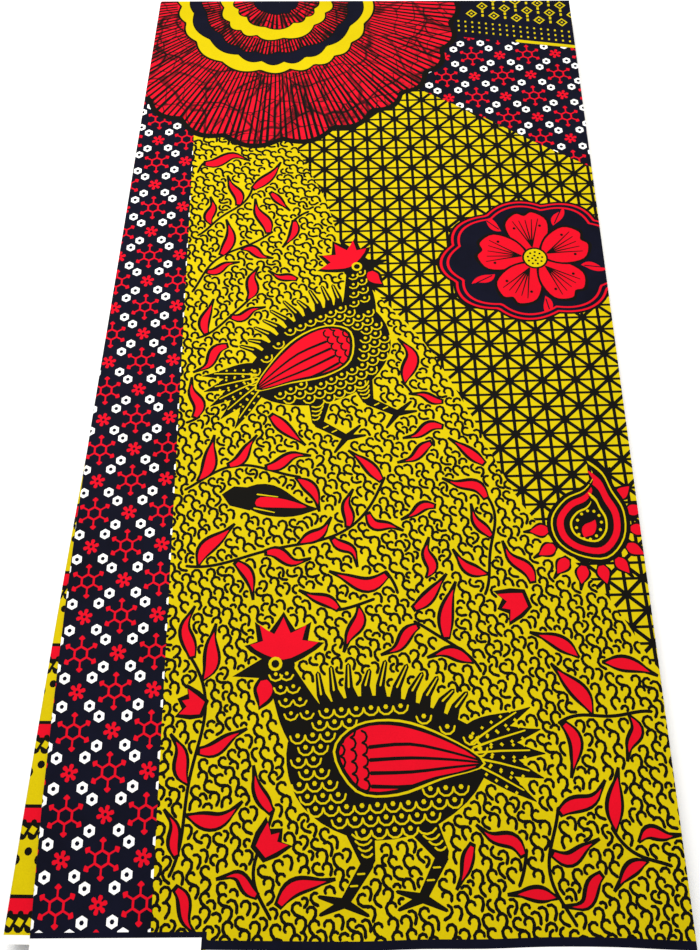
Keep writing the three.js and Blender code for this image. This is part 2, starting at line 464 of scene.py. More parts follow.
def leaf_outline(length, width, bend=0.0, curl=0.0, grow=0.0, blunt=0.0):
    """A leaf from its foot at 0, 0 along +x. grow widens it all round, blunt cuts its foot square."""
    t = np.linspace(0, 1, 12)
    spine = length * np.column_stack([t, bend * np.sin(math.pi * t) + curl * np.sin(2 * math.pi * t)])
    half = width / 2 * np.sin(math.pi * (t * (1 - blunt) + blunt)) ** 0.9 * (1 + 0.25 * np.cos(math.pi * t))
    half += grow * np.sin(math.pi * np.clip(t, 0.03, 0.97)) ** 0.35
    along = np.gradient(spine, axis=0)
    along /= np.linalg.norm(along, axis=1, keepdims=True)
    aside = np.column_stack([-along[:, 1], along[:, 0]])
    spine[0] -= along[0] * grow * 0.9
    spine[-1] += along[-1] * grow * 2.6
    return np.vstack([spine - aside * half[:, None], (spine + aside * half[:, None])[::-1]])


TULIP = [(0, -0.3), (0.44, -0.46), (0.98, -0.62), (0.74, -0.2), (1.04, -0.02), (0.74, 0.16), (0.96, 0.6)]
TULIP += [(0.42, 0.46), (0.02, 0.3)]
TULIP_SIZE = 0.55
TULIP_OUTLINE = OUTLINE * 1.4


def grown(outline, reach):
    """An outline whose points are moved away from its middle"""
    middle = outline.mean(0)
    away = outline - middle
    return middle + away * (1 + reach / np.linalg.norm(away, axis=1, keepdims=True))


def fit_leaf(foot, turn, kind, size, bend, curl):
    """The black outline and the red fill of a leaf, where there is room for one"""
    if kind == "tulip":
        shape = np.array(TULIP) * size * TULIP_SIZE
        drawn, fill, clear = (grown(shape, grow) for grow in (TULIP_OUTLINE, 0, TULIP_OUTLINE + LEAF_CLEAR))
    else:
        width, blunt = (size * 0.2, 0.12) if kind == "blade" else (size * 0.24, 0.0)
        grows = (OUTLINE, 0, OUTLINE + LEAF_CLEAR)
        drawn, fill, clear = (leaf_outline(size, width, bend, curl, grow, blunt) for grow in grows)
    drawn, fill, clear = (placed(outline, *foot, turn=turn) for outline in (drawn, fill, clear))
    if not is_free(clear) or not is_free(fill):
        return None
    take_shape(clear, 0)
    return drawn, fill + REGISTER


def ink_leaf(leaf):
    drawn, fill = leaf
    ink_shape("black", drawn)
    ink_shape("red", fill)


VINES = [  # where each starts, its heading, how far it bends in all, in degrees, and its length
    (-84, 22, 62, 60, 120),
    (-36, 6, 120, -70, 60),
    (20, 6, 60, 40, 60),
    (96, 5, 118, -60, 70),
    (141, 30, 160, -50, 60),
    (141, 96, 170, 40, 60),
    (-88, 112, 30, 70, 90),
    (-90, 166, -10, 70, 130),
    (62, 150, 60, 60, 70),
    (20, 150, 100, 80, 80),
    (-94, 206, 30, -60, 90),
    (10, 214, 20, 70, 90),
    (30, 262, 110, 50, 60),
    (-97, 246, 15, 50, 70),
    (-100, 330, 60, -40, 80),
    (-30, 392, 200, 60, 60),
    (-101, 372, 30, 40, 60),
    (-70, 424, -30, 50, 50),
    (-104, 420, 70, -60, 30),
    (70, 60, 20, 60, 90),
    (70, 20, 60, 30, 80),
    (-60, 240, 200, -80, 60),
    (-90, 60, 20, 110, 90),
    (-90, 96, 80, -120, 110),
    (-64, 150, -20, 120, 90),
    (10, 150, 200, -110, 90),
    (60, 112, 110, 110, 80),
    (-20, 236, 100, 110, 70),
    (106, 40, 100, 110, 80),
    (40, 16, 150, -100, 70),
    (-96, 300, 10, 110, 80),
    (-102, 400, 0, 120, 70),
]


def vine_line(x, y, heading, bend, length):
    share = np.linspace(0, 1, int(length / VINE_STEP))
    angles = np.radians(heading + bend * share + 14 * np.sin(9 * share))
    line = (x, y) + np.cumsum(VINE_STEP * np.column_stack([np.cos(angles), np.sin(angles)]), 0)
    free = next((step for step in range(len(line)) if not is_free(line[step : step + 1])), len(line))
    return line[:free]


def grow_vine(hand, x, y, heading, bend, length):
    """A vine with leaves on its two sides by turns, which ends at its last leaf"""
    line = vine_line(x, y, heading, bend, length)
    grown_leaves = []
    walked, side, last = 0.0, 1, 0
    spacing = hand.uniform(3, 12)
    for step in range(1, len(line) - 1):
        walked += VINE_STEP
        if walked < spacing:
            continue
        ahead = line[step + 1] - line[step - 1]
        along = math.degrees(math.atan2(ahead[1], ahead[0]))
        kind = hand.choices(["lens", "blade", "tulip"], [5, 7, 0.6])[0]
        for _ in range(6):
            turn = along + hand.uniform(*LEAF_LEAN) * side
            foot = line[step] + turned([(VINE + LEAF_CLEAR * 0.2, 0)], turn)[0]
            bow = hand.uniform(-0.16, 0.2) * side
            length, curl = hand.uniform(*VINE_LEAF_LENGTH), hand.uniform(-LEAF_CURL, LEAF_CURL)
            leaf = fit_leaf(foot, turn, kind, length, bow, curl)
            if leaf:
                grown_leaves.append(leaf)
                walked, last, spacing = 0.0, step, hand.uniform(*LEAF_SPACING)
                break
        side = -side
    if not last:
        return
    ink_shape("black", ribbon(line[: last + 2], VINE))
    take_line(line[: last + 2], VINE_CLEAR)
    for leaf in grown_leaves:
        ink_leaf(leaf)


def scatter_leaves(hand, tries):
    """Loose leaves, one or a forked pair, in what room is left between the vines"""
    low, high = LEAF_FIELD
    for _ in range(tries):
        foot = (hand.uniform(low[0], high[0]), hand.uniform(low[1], high[1]))
        kind = hand.choices(["lens", "blade", "tulip"], [5, 6, 1.2])[0]
        turn = hand.uniform(0, 360)
        fork = hand.uniform(100, 150)
        for side in (0, 1):
            bend, curl = hand.uniform(-0.16, 0.16), hand.uniform(-LEAF_CURL, LEAF_CURL)
            start = placed([(1.5, 0)], *foot, turn=turn + fork * side)[0]
            leaf = fit_leaf(start, turn + fork * side, kind, hand.uniform(*LOOSE_LEAF_LENGTH), bend, curl)
            if not leaf:
                break
            ink_leaf(leaf)
            if kind == "tulip":
                break


# The worm ground: chains of black crooks, each hung from the last, that lean left and right by turns
WORM = 1.6
WORM_REACH = 1.5
WORM_LANE = 4.0
CROOK = [(1.8, -1.95), (1.8, -0.95), (0.85, -0.08), (-0.65, -0.1), (-1.7, -1.2), (-1.65, -3.0)]
CROOK += [(-0.5, -5.0)]
CROOK_SHOULDER = 2  # the point of the crook that hangs from the chain
CROOK_FEWEST = 5
CROOK_LEANS = (0, -12, 12, -26, 26, -42, 42)
CROOK_STRAY = 6
CROOK_SIZES = (0.92, 1.1)
CHAIN_LENGTHS = (4, 6, 9, 14)
CHAIN_SIZE = 1.1
GAP_CHAIN = 3
GAP_SIZES = (1.0, 0.76)


def close_line(points, gap=0.6):
    """The same open line with a point at least every gap"""
    out = [points[:1]]
    for start, end in zip(points[:-1], points[1:]):
        count = max(1, math.ceil(np.linalg.norm(end - start) / gap))
        out.append(start + (end - start) * (np.arange(1, count + 1) / count)[:, None])
    return np.vstack(out)


def worm_heading(x, y):
    """The way the chains run at a place, in degrees from straight down the cloth"""
    return 4 + 0.1 * y + 8 * math.sin(x / 41 + 1.3) + 8 * math.sin(y / 57 + x / 90)


def fit_crook(foot, side, turn, size):
    """As much of a crook as there is room for, from its shoulder down and then up to its free end"""
    crook = placed(CROOK, *foot, size=size, turn=turn, facing=side)
    cells = cells_of(crook)
    blocked = taken[cells[:, 0], cells[:, 1]]
    start, end = CROOK_SHOULDER, CROOK_SHOULDER + 1
    if blocked[start] or blocked[end]:
        return None
    while start > 0 and not blocked[start - 1]:
        start -= 1
    while end < len(crook) - 1 and not blocked[end + 1]:
        end += 1
    if end - start + 1 < CROOK_FEWEST:
        return None
    return crook[start : end + 1], start == 0 and end == len(crook) - 1


def hang_crook(hand, foot, side, size):
    """The crook that turns least from the run of the chain and fits whole, or else the longest part"""
    best = None
    run = worm_heading(*foot)
    for lean in CROOK_LEANS:
        for facing in (side, -side):
            turn = run + lean + hand.uniform(-CROOK_STRAY, CROOK_STRAY)
            fit = fit_crook(foot, facing, turn, size * hand.uniform(*CROOK_SIZES))
            if fit and fit[1]:
                return fit[0], facing, True
            if fit and (best is None or len(fit[0]) > len(best[0])):
                best = (fit[0], facing, False)
    return best


def hang_chain(hand, foot, side, longest, size, ground):
    """Crooks one below another, each from the end of the last"""
    waiting = []
    for _ in range(longest):
        crook = hang_crook(hand, foot, side, size)
        if crook is None:
            break
        line, side, whole = crook
        ink_shape("black", ribbon(line, WORM * 0.9, WORM), ground)
        waiting.append(line)
        if len(waiting) > 1:
            take_line(close_line(waiting.pop(0)), WORM_REACH)
        if not whole:
            break
        foot, side = line[-1], -side
    for line in waiting:
        take_line(close_line(line), WORM_REACH)


def fill_with_worms(hand, low, high, tries, ground):
    """Long chains in lanes down the cloth, and then short ones in what gaps are left"""
    for x0 in np.arange(low[0], high[0], WORM_LANE):
        for y0 in np.arange(high[1], low[1], -1.0):
            foot = (x0 + hand.uniform(-0.8, 0.8), y0)
            if is_free([foot]):
                side, longest = hand.choice([-1, 1]), hand.choice(CHAIN_LENGTHS)
                hang_chain(hand, foot, side, longest, CHAIN_SIZE, ground)
    for size in GAP_SIZES:
        for _ in range(tries):
            foot = (hand.uniform(low[0], high[0]), hand.uniform(low[1], high[1]))
            if is_free([foot]):
                hang_chain(hand, foot, hand.choice([-1, 1]), GAP_CHAIN, size, ground)


# A guinea fowl: black, scaled and spotted in yellow, with a red wing, comb and wattle.
# It is drawn about 150 mm long, walking to the left, from the middle of its body.
FOWL_BODY = [(-44, 0), (-42, 20), (-24, 33), (4, 35), (32, 26), (54, 10), (46, -12), (20, -28), (-10, -30)]
FOWL_BODY += [(-34, -18)]
FOWL_WING = [(-22, 10), (-10, 22), (12, 23), (34, 14), (52, 0), (30, -6), (8, -12), (-12, -9)]
FOWL_NECK = [(-26, 12), (-36, 26), (-42, 39), (-47, 51)]
FOWL_COMB = [(-55, 59), (-64, 66), (-56, 68), (-58, 79), (-49, 72), (-43, 83), (-39, 72), (-29, 77)]
FOWL_COMB += [(-32, 67), (-22, 65), (-34, 58), (-44, 55)]
FOWL_BEAK = [(-54, 58), (-71, 49), (-54, 47)]
FOWL_EYE = (-49, 54)
FOWL_TAIL = [(32, 10), (17, 12), (2, 12), (-13, 12), (-28, 10)]  # each feather's lean and width
FOWL_TAIL_FOOT = (38, 6)
FOWL_LEGS = [((-12, -20), (-8, -40), (-20, -56)), ((16, -20), (27, -39), (16, -56))]  # hip, knee, heel
FOWL_TOES = (-160, -196, -28)
FOWL_HACKLES = 10
SCALE_ACROSS = 7.4
SCALE_ALONG = 5.6
SCALE_LINE = 0.95


def fowl_hackles(body):
    """Spiky feathers along the neck and back: their black outlines and their yellow shafts"""
    hand = random.Random(5)
    spikes, shafts = [], []
    for number in range(FOWL_HACKLES):
        lean = 104 - 5.6 * number
        line = turned([(-3, 0), (5, 1), (hand.uniform(12, 17), -1)], lean + hand.uniform(-7, 7))
        line = line + body[8 + number]
        spikes.append(ribbon(line, 6.4, 2.6))
        shafts.append(ribbon(line[1:], 1.0, 0.5))
    return spikes, shafts


def fowl_leg(hip, knee, heel):
    toes = [ribbon([heel, placed([(12, 0)], *heel, turn=toe)[0]], 4.2, 1.6) for toe in FOWL_TOES]
    return [ribbon([hip, knee], 17, 7), ribbon([knee, heel], 6, 4.4), *toes]


def on_tail(points, lean):
    return placed(points, *FOWL_TAIL_FOOT, turn=lean - 6)


def print_tail(ink):
    """The yellow shaft and spots of each tail feather"""
    for lean, width in FOWL_TAIL:
        ink("yellow", ribbon(on_tail([(9, 0), (22, 1.0), (36, 1.4)], lean), 1.1, 0.7))
        for barb in range(5):
            for side in (-1, 1):
                spot = on_tail([(12 + 5.4 * barb, 1 + side * width * 0.24)], lean)[0]
                ink("yellow", placed(ring_of(0.9, 4), *spot))


def print_legs(ink):
    """Yellow bands round each thigh and shank"""
    for hip, knee, heel in np.array(FOWL_LEGS, float):
        for step in range(4):
            share = 0.42 + 0.17 * step
            middle = hip * (1 - share) + knee * share
            ink("yellow", ribbon(arc_of(middle + (0, 4), 5.4 - 0.8 * step, 215, 110, 4), 0.9))
        for share in (0.3, 0.6):
            middle = knee * (1 - share) + heel * share
            ink("yellow", ribbon([middle - (1.6, -0.4), middle + (1.6, 0.4)], 0.8))


def print_scales(ink, body, wing, neck):
    """A net of scales on the body and down the neck, with a spot in each"""
    for row in range(13):
        for column in range(15):
            spot = np.array([-50 + SCALE_ACROSS * (column + row % 2 / 2), -32 + SCALE_ALONG * row])
            if inside_outline(spot, body * 0.93) and not inside_outline(spot, wing * 1.1 - (1, 0)):
                ink("yellow", ribbon(arc_of(spot, SCALE_ACROSS / 2, 180, 180, 5), SCALE_LINE))
                ink("yellow", placed(ring_of(1.2, 6), *spot))
    for step in range(5, 13, 2):
        for side in (-1, 1):
            spot = neck[step] + (side * (5.0 - 0.2 * step), 0)
            ink("yellow", ribbon(arc_of(spot, 3.4, 185, 160, 4), SCALE_LINE))
            ink("yellow", placed(ring_of(1.0, 6), *spot))


def print_wing(ink, wing):
    """The red wing in its yellow and black edges: long quills, and small scales at its shoulder"""
    ink("yellow", wing)
    wing_black = ink("black", grown(wing, -1.2))
    wing_red = ink("red", grown(wing, -3.2), wing_black)
    for row in range(4):
        quill = smooth_line([(-4, -7 + 6 * row), (16, -8 + 6.4 * row), (36, -4 + 3.4 * row), (54, 0)], 3)
        ink("black", ribbon(quill, 1.9, 0.9), wing_red)
    for row in range(6):
        for column in range(3):
            spot = (-19 + 5.6 * column, -12 + 5.6 * row + 2.8 * (column % 2))
            ink("black", ribbon(arc_of(spot, 2.9, -80, 160, 4), 1.2), wing_red)


def print_guinea_fowl(x, y, size, turn, facing):
    def ink(colour, outline, within=None):
        return ink_shape(colour, placed(outline, x, y, size, turn, facing), within)

    body = smooth_line(FOWL_BODY, 4, closed=True)
    neck = smooth_line(FOWL_NECK, 4)
    wing = smooth_line(FOWL_WING, 4, closed=True)
    comb = smooth_line(FOWL_COMB, 2, closed=True) * (0.84, 0.78) + (-8, 13)
    wattle = placed(leaf_outline(12, 7, 0.1, 0, 0.2, 0.1), -55, 46, turn=-100)
    spikes, shafts = fowl_hackles(body)
    outlines = [body, ribbon(neck, 27, 13), placed(ring_of(9, 16), -48, 53), FOWL_BEAK, *spikes]
    outlines += [on_tail(leaf_outline(42, width, 0.05, 0.02, 0.6, 0.2), lean) for lean, width in FOWL_TAIL]
    outlines += [part for leg in FOWL_LEGS for part in fowl_leg(*leg)]
    outlines += [grown(comb, 3.0), grown(wattle, 2.0)]
    for outline in outlines:
        ink("black", outline)
        take_shape(placed(outline, x, y, size, turn, facing), 1.0)
    ink("red", comb)
    ink("red", wattle)
    for shaft in shafts:
        ink("yellow", shaft)
    print_tail(ink)
    print_legs(ink)
    print_scales(ink, body, wing, neck)
    ink("yellow", placed(ring_of(3.6, 12), *FOWL_EYE))
    ink("black", placed(ring_of(2.1, 9), *FOWL_EYE))
    print_wing(ink, wing)


# A closed flower bud on its calyx: black, with one red petal showing
def print_bud(x, y, size, turn):
    bud = leaf_outline(40, 15, 0.0, 0.03, 0.5, 0.12)
    for outline in (bud, ribbon([(-5, 0), (6, 0)], 11, 13)):
        drawn = placed(outline, x, y, size, turn)
        ink_shape("black", drawn)
        take_shape(drawn, 1.4)
    petal = smooth_line([(9, -3.4), (22, -2.2), (35, 0.2), (23, 2.6), (10, 1.8)], 3, closed=True)
    ink_shape("red", placed(petal, x, y, size, turn))
    for rib in (3.4, -5.4):
        ink_shape("yellow", placed(ribbon([(8, rib * 0.9), (19, rib)], 0.8, 0.5), x, y, size, turn))


# A hibiscus on a scalloped navy cloud with a double red edge, for the lattice ground
CLOUD_RINGS = [("black", 43.4), ("red", 42), ("navy", 40.8), ("red", 38.8), ("navy", 37.6)]
PETALS = 5
PETAL = [(5, 0), (12, -9), (25, -12), (32, -5), (30, 0), (32, 5), (25, 12), (12, 9)]
PETAL_EDGE = [(3, 0), (12, -10.5), (25, -13.6), (34, -6), (32, 0), (34, 6), (25, 13.6), (12, 10.5)]


def cloud_outline(reach, steps=150):
    angles = np.arange(steps) * 2 * math.pi / steps
    radius = reach + 4.2 * np.abs(np.sin(4.5 * angles + 0.3)) - 1.5
    return np.column_stack([1.22 * radius * np.cos(angles), 0.92 * radius * np.sin(angles)])


def print_flower_cloud(x, y, size, turn):
    def ink(colour, outline, within=None):
        return ink_shape(colour, placed(outline, x, y, size, turn), within)

    for colour, reach in CLOUD_RINGS:
        ground = ink(colour, cloud_outline(reach))
    leans = [90 + 360 / PETALS * side for side in range(PETALS)]
    petal, petal_edge = smooth_line(PETAL, 4, closed=True), smooth_line(PETAL_EDGE, 4, closed=True)
    for lean in leans:
        ink("black", turned(petal_edge, lean), ground)
        red = ink("red", turned(petal, lean), ground)
        for vein in (-22, -11, 0, 11, 22):
            line = turned([(8, 0), (17, vein * 0.16), (27, vein * 0.34)], lean)
            ink("black", ribbon(line, 1.0, 0.5), red)
        for spot in (-7.5, 7.5):
            ink("black", placed(ring_of(0.9, 7), *turned([(22, spot)], lean)[0]), red)
    sepal = leaf_outline(15, 5, 0.0, 0.05)
    for lean in leans:
        between = lean - 180 / PETALS
        ink("red", placed(sepal, *turned([(26, 0)], between)[0], turn=between), ground)
        ink("navy", ribbon(turned([(28, 0), (38, 0.6)], between), 0.7), ground)
    ink("black", ring_of(7.4, 20))
    ink("yellow", ring_of(6.3, 20))
    for spot in np.vstack([ring_of(4.1, 9), ring_of(1.6, 4)]):
        ink("black", placed(ring_of(0.7, 7), *spot))


# A paisley drop: black, with red and yellow bands inside it and a fringe of red buds
PAISLEY = [(0, -22), (15, -17), (20, -2), (15, 13), (5, 22), (-3, 30), (-13, 33), (-7, 27), (-9, 16)]
PAISLEY += [(-17, 6), (-20, -8), (-13, -19)]
PAISLEY_BANDS = [("black", 1.0), ("yellow", 0.9), ("black", 0.86), ("red", 0.76), ("black", 0.6)]
PAISLEY_BANDS += [("yellow", 0.45), ("black", 0.4)]
PAISLEY_BUDS = 11


def print_paisley(x, y, size, turn, facing):
    def ink(colour, outline, within=None):
        return ink_shape(colour, placed(outline, x, y, size, turn, facing), within)

    for number in range(PAISLEY_BUDS):
        lean = -150 + 24 * number
        foot = placed([(21.5, 0)], 0, -3, turn=lean)[0] * (0.94, 1.0)
        edge, bud = (placed(leaf_outline(9, 5.2, 0, 0, grow, 0.1), *foot, turn=lean) for grow in (1.3, 0))
        ink("black", edge)
        ink("red", bud)
        take_shape(placed(edge, x, y, size, turn, facing), 1.1)
    drop = smooth_line(PAISLEY, 4, closed=True)
    for colour, shrink in PAISLEY_BANDS:
        ink(colour, drop * shrink + (0, -3 * (1 - shrink)))
    take_shape(placed(drop, x, y, size, turn, facing), 1.1)
    for spot in ring_of(9.5, 12):
        ink("yellow", placed(ring_of(0.8, 7), *(spot * (0.62, 0.82) + (0, -3))))
    ink("red", placed(leaf_outline(11, 6, 0, 0.03), 0, -10, turn=80))


# The fields of the print, and what is laid over them, from the first ink to the last. They run on
# past the cloth's own edges, where its outline cuts them off.
LEAF_EDGE = LEAF_WIDTH / 2
FIELD_LEFT, FIELD_RIGHT = -460, 168
FIELD_LOW, FIELD_HIGH = -30, 620
GRID_FIELD = ((-148, -5), (149, 590))
WORM_FIELD = ((-112, -4), (148, 470))
WORM_TRIES = 36000
LEAF_TRIES = 700
STRIP_EDGE = -88.5
STRIP_LEAN = -0.0437
STRIP_CLEAR = 2.5
WHEEL_CLEAR = 126.0
WORM_EDGE = [(168, 108), (145, 116), (125, 150), (85, 200), (62, 250), (35, 300), (-5, 350), (-22, 400)]
WORM_EDGE += [(-40, 440), (-44, 470)]
PATCH_EDGE = [(30, 500), (40, 492), (80, 468), (110, 448), (145, 427), (168, 413)]
FAR_BAND_EDGE = [(40, 545.8), (168, 527.7)]


def block_outline(left, low, right, high):
    return [(left, low), (right, low), (right, high), (left, high)]


def strip_outline(inset):
    right = [(STRIP_EDGE + STRIP_LEAN * y - inset, y) for y in (FIELD_LOW, FIELD_HIGH)]
    return np.array([(FIELD_LEFT, FIELD_LOW), right[0], right[1], (FIELD_LEFT, FIELD_HIGH)])


def print_lattice_and_worms(hand):
    worm_edge = smooth_line(WORM_EDGE, 5)
    worm_outline = [[(FIELD_LEFT, FIELD_LOW), (FIELD_RIGHT, FIELD_LOW)], worm_edge, [(FIELD_LEFT, 470)]]
    worm_outline = np.vstack(worm_outline)
    worms = ink_shape("yellow", worm_outline)
    lattice = ink_shape("black", np.vstack([worm_edge, [(-44, 520), (30, 520)], PATCH_EDGE[1:]]))
    strut_lattice(origin=(12.5, 458.3), turn=2.0, columns=(-9, 16), rows=(-44, 6), within=lattice)
    take_shape(np.clip(worm_outline, *GRID_FIELD), 0, False)
    take_shape(np.clip(strip_outline(STRIP_CLEAR), *GRID_FIELD), 0)
    wheel_edge = np.column_stack(wheel_point(WHEEL_CLEAR, np.arange(60) * math.pi / 30))
    take_shape(wheel_edge[wheel_edge[:, 1] < GRID_FIELD[1][1]], 0)
    print_guinea_fowl(x=10, y=69, size=0.95, turn=4, facing=1)
    print_guinea_fowl(x=-18, y=288, size=0.88, turn=28, facing=-1)
    print_flower_cloud(x=104, y=357, size=1.05, turn=8)
    print_paisley(x=120, y=192, size=1.05, turn=-24, facing=1)
    print_bud(x=-62, y=203, size=1.0, turn=-9)
    for vine in VINES:
        grow_vine(hand, *vine)
    scatter_leaves(hand, LEAF_TRIES)
    fill_with_worms(hand, *WORM_FIELD, WORM_TRIES, worms)


def print_strip():
    strip = ink_shape("navy", strip_outline(0))
    molecule_repeat((-130.8, 11.9), STAR_SPACING, turn=2.4, columns=(-2, 4), rows=(-1, 27), within=strip)


def above_far_edge(x, rise):
    """A place so far above the sloping edge of the far band"""
    (x0, y0), (x1, y1) = FAR_BAND_EDGE
    slope = (y1 - y0) / (x1 - x0)
    return (x, y0 + slope * (x - x0) + rise)


def ink_block(ink, x, y, half_width, half_height):
    ink_shape(ink, block_outline(x - half_width, y - half_height, x + half_width, y + half_height))


def print_far_band():
    """A yellow line, three rows of dots, and diamonds in threes with two small blocks between"""
    far_band = ink_shape("navy", FAR_BAND_EDGE + [(FIELD_RIGHT, FIELD_HIGH), (40, FIELD_HIGH)])
    line = ribbon([above_far_edge(106, 1.6), above_far_edge(FIELD_RIGHT, 1.6)], 2.6)
    ink_shape("yellow", line, far_band)
    for row in range(3):
        for column in range(22):
            ink_block("yellow", *above_far_edge(62 + 4.7 * column, 6.2 + 4.6 * row), 0.6, 0.8)
    for column in range(6):
        for row in range(3):
            x, y = above_far_edge(76 + 15.5 * column + 7.7 * (row % 2), 24 + 8.4 * row)
            ink_shape("yellow", placed(ring_of(4.0, 4), x, y))
            ink_shape("navy", placed(ring_of(2.7, 4), x, y))
            ink_shape("yellow", placed(ring_of(1.0, 4, 45), x, y))
            for side in (-1, 1):
                ink_block("yellow", x + 7.7, y + 1.9 * side, 0.8, 1.2)


def print_patch():
    patch_outline = np.array(PATCH_EDGE + [(FIELD_RIGHT, FIELD_HIGH), (30, FIELD_HIGH)], float)
    patch = ink_shape("navy", patch_outline)
    molecule_repeat((74.4, 523.6), PATCH_SPACING, turn=2.5, columns=(-3, 5), rows=(-6, 2), within=patch)
    print_far_band()


# The dark band along the selvedge, and the bare white panel that it steps round
BAND_WIDTH = 3.6
BAND_END = [(-64.3, -3.7), (-25, -3.6), (2, -3.4), (28, -2.3), (55, -1.9), (82, -0.8), (109, -0.6)]
BAND_END += [(131, -1.2), (FIELD_RIGHT, -2.2)]
PANEL_BAND = 2.2
PANEL_EDGE = [(FIELD_LEFT, -1.2), (-141, -0.4), (-66.4, 0.9)]


def down_to_field_low(line):
    """The outline of all that lies under a line that runs from left to right"""
    return np.vstack([line, [(line[-1][0], FIELD_LOW), (line[0][0], FIELD_LOW)]])


def print_near_edge():
    band_end, panel_end = smooth_line(BAND_END, 3), np.array(PANEL_EDGE)
    (band_left, band_low), (panel_right, panel_low) = BAND_END[0], PANEL_EDGE[-1]
    ink_shape("navy", down_to_field_low(band_end + (0, BAND_WIDTH)))
    ink_shape("white", down_to_field_low(band_end))
    step_down = [(band_left, panel_low + PANEL_BAND), (band_left, band_low), (panel_right, band_low)]
    ink_shape("navy", np.vstack([panel_end + (0, PANEL_BAND), step_down, [(FIELD_LEFT, band_low)]]))
    ink_shape("white", down_to_field_low(panel_end))


# The cloth itself. A fold is read off its solid; a leaf is two layers that part a little at its
# open edges and close up round the centre fold at its far end.
FOLD_RADIUS = 1.2
LEAF_THICKNESS = 0.9
FAR_ROUNDING = 0.8
FAR_CLOSING = 0.96
FAR_ROWS = (FAR_ROUNDING, 0.3, 0.05)  # how far before the far end the cloth bends
RIM = [(0.4, 0.0), (0.46, 1.5), (0.54, 1.5), (0.6, 0.0), (1.0, 0.0)]  # depth share, and how far drawn in
NOSE_BENDS = 6
EDGE_STEP = 5.0
INSIDE_STEPS = (14, 20)
SHARP_EDGE = math.radians(50)
SAME_ROW = 0.02
FAR_LINE_INSETS = (2, 4)  # how far the lines at the far end stop from the upper and the lower cut edge
NOSE_CLEAR = (1.5, 4)  # how far the grid of points stays from the bends, before and after the nose
EDGE_CLEAR = 3
MERGED = 0.004  # corners closer than this are made one
INK_SLACK = 0.05  # how far past its own outline an ink may be found


def read_fold(node, side):
    """A fold's size in millimetres. side is where its nose is: -1 left, 1 right."""
    corners = np.array([tuple(vertex.co) for vertex in bpy.data.objects[node].data.vertices]) / MM
    low, high = corners.min(0), corners.max(0)
    cut = high[0] if side < 0 else low[0]
    along = np.unique(np.round(corners[:, 1], 2))
    nose = [np.abs(corners[np.abs(corners[:, 1] - y) < SAME_ROW, 0] - cut).max() for y in along]
    reach = np.array(nose) - FOLD_RADIUS
    ends = {"cut": cut, "near": low[1], "far": high[1], "base": low[2]}
    return {"side": side, "along": along, "reach": reach, **ends}


def flat_reach(fold, along):
    """How far the flat of the upper leaf goes from its cut edge before the nose"""
    return np.interp(along, fold["along"], fold["reach"])


def cloth_end(fold, along, under_inset):
    """How far the cloth goes in all from its upper cut edge, round the nose to its lower one"""
    return 2 * flat_reach(fold, along) + math.pi * FOLD_RADIUS - under_inset


def place_on_fold(fold, across, along, share, rise):
    """Points in metres: across from the cut edge, share 0 on the printed face and 1 inside the fold"""
    flat = flat_reach(fold, along)
    turn = np.clip((across - flat) / FOLD_RADIUS, 0, math.pi)
    beyond = np.maximum(across - flat - math.pi * FOLD_RADIUS, 0)
    to_far = np.clip((along - fold["far"] + FAR_ROUNDING) / FAR_ROUNDING, 0, 1)
    half = LEAF_THICKNESS / 2 * np.sqrt(1 - (FAR_CLOSING * to_far) ** 2)
    radius = FOLD_RADIUS - LEAF_THICKNESS / 2 + (1 - 2 * share) * half
    x = fold["cut"] + fold["side"] * (np.minimum(across, flat) - beyond + radius * np.sin(turn))
    z = fold["base"] + FOLD_RADIUS + radius * np.cos(turn) + rise(across / flat, along)
    return np.column_stack([x, along, z]) * MM


def counter_clockwise(outline):
    x, y = outline[:, 0], outline[:, 1]
    area = (x * np.roll(y, -1) - y * np.roll(x, -1)).sum()
    return outline if area > 0 else outline[::-1]


def even_rows(low, high, step):
    return np.linspace(low, high, int((high - low) / step) + 1)


def edge_rows(fold):
    """Places along the side edges of a fold, closer where its far end is rounded"""
    far = fold["far"]
    rows = even_rows(fold["near"], far - FAR_ROUNDING, EDGE_STEP)
    return np.append(rows, [*(far - before_end for before_end in FAR_ROWS[1:]), far])


def lay_flat(fold, across, along):
    """From millimetres across and along a fold to the flat cloth's own x and y"""
    across, along = np.broadcast_arrays(across, along)
    return np.column_stack([fold["side"] * (across - LEAF_EDGE), along - fold["near"]])


def lift_off_flat(fold, flat):
    """From the flat cloth's own x and y back to millimetres across and along a fold"""
    return fold["side"] * flat[:, 0] + LEAF_EDGE, flat[:, 1] + fold["near"]


def sheet_outline(fold, under_inset):
    """The flat cloth's outline: x from the leaf's middle, y from its near end"""
    rows = edge_rows(fold)
    end = cloth_end(fold, rows, under_inset)
    shares = np.linspace(0, 1, int(end[0] / EDGE_STEP))
    near_edge = [(share * end[0], rows[0]) for share in shares]
    far_edge = [(share * end[-1], rows[-1]) for share in shares[::-1]]
    outline = near_edge + list(zip(end[1:-1], rows[1:-1])) + far_edge + [(0, y) for y in rows[-2:0:-1]]
    return lay_flat(fold, *np.array(outline).T)


def bend_lines(fold):
    """Lines along the nose, and close behind the far end, that keep the faces there narrow"""
    rows = edge_rows(fold)
    lines = []
    for bend in range(-1, NOSE_BENDS + 2):
        across = flat_reach(fold, rows) + FOLD_RADIUS * math.pi * bend / NOSE_BENDS
        lines.append(lay_flat(fold, across, rows))
    for before_end in FAR_ROWS:
        y = fold["far"] - before_end
        end = cloth_end(fold, y, FAR_LINE_INSETS[1])
        lines.append(lay_flat(fold, np.linspace(FAR_LINE_INSETS[0], end, int(end / EDGE_STEP)), y))
    return lines


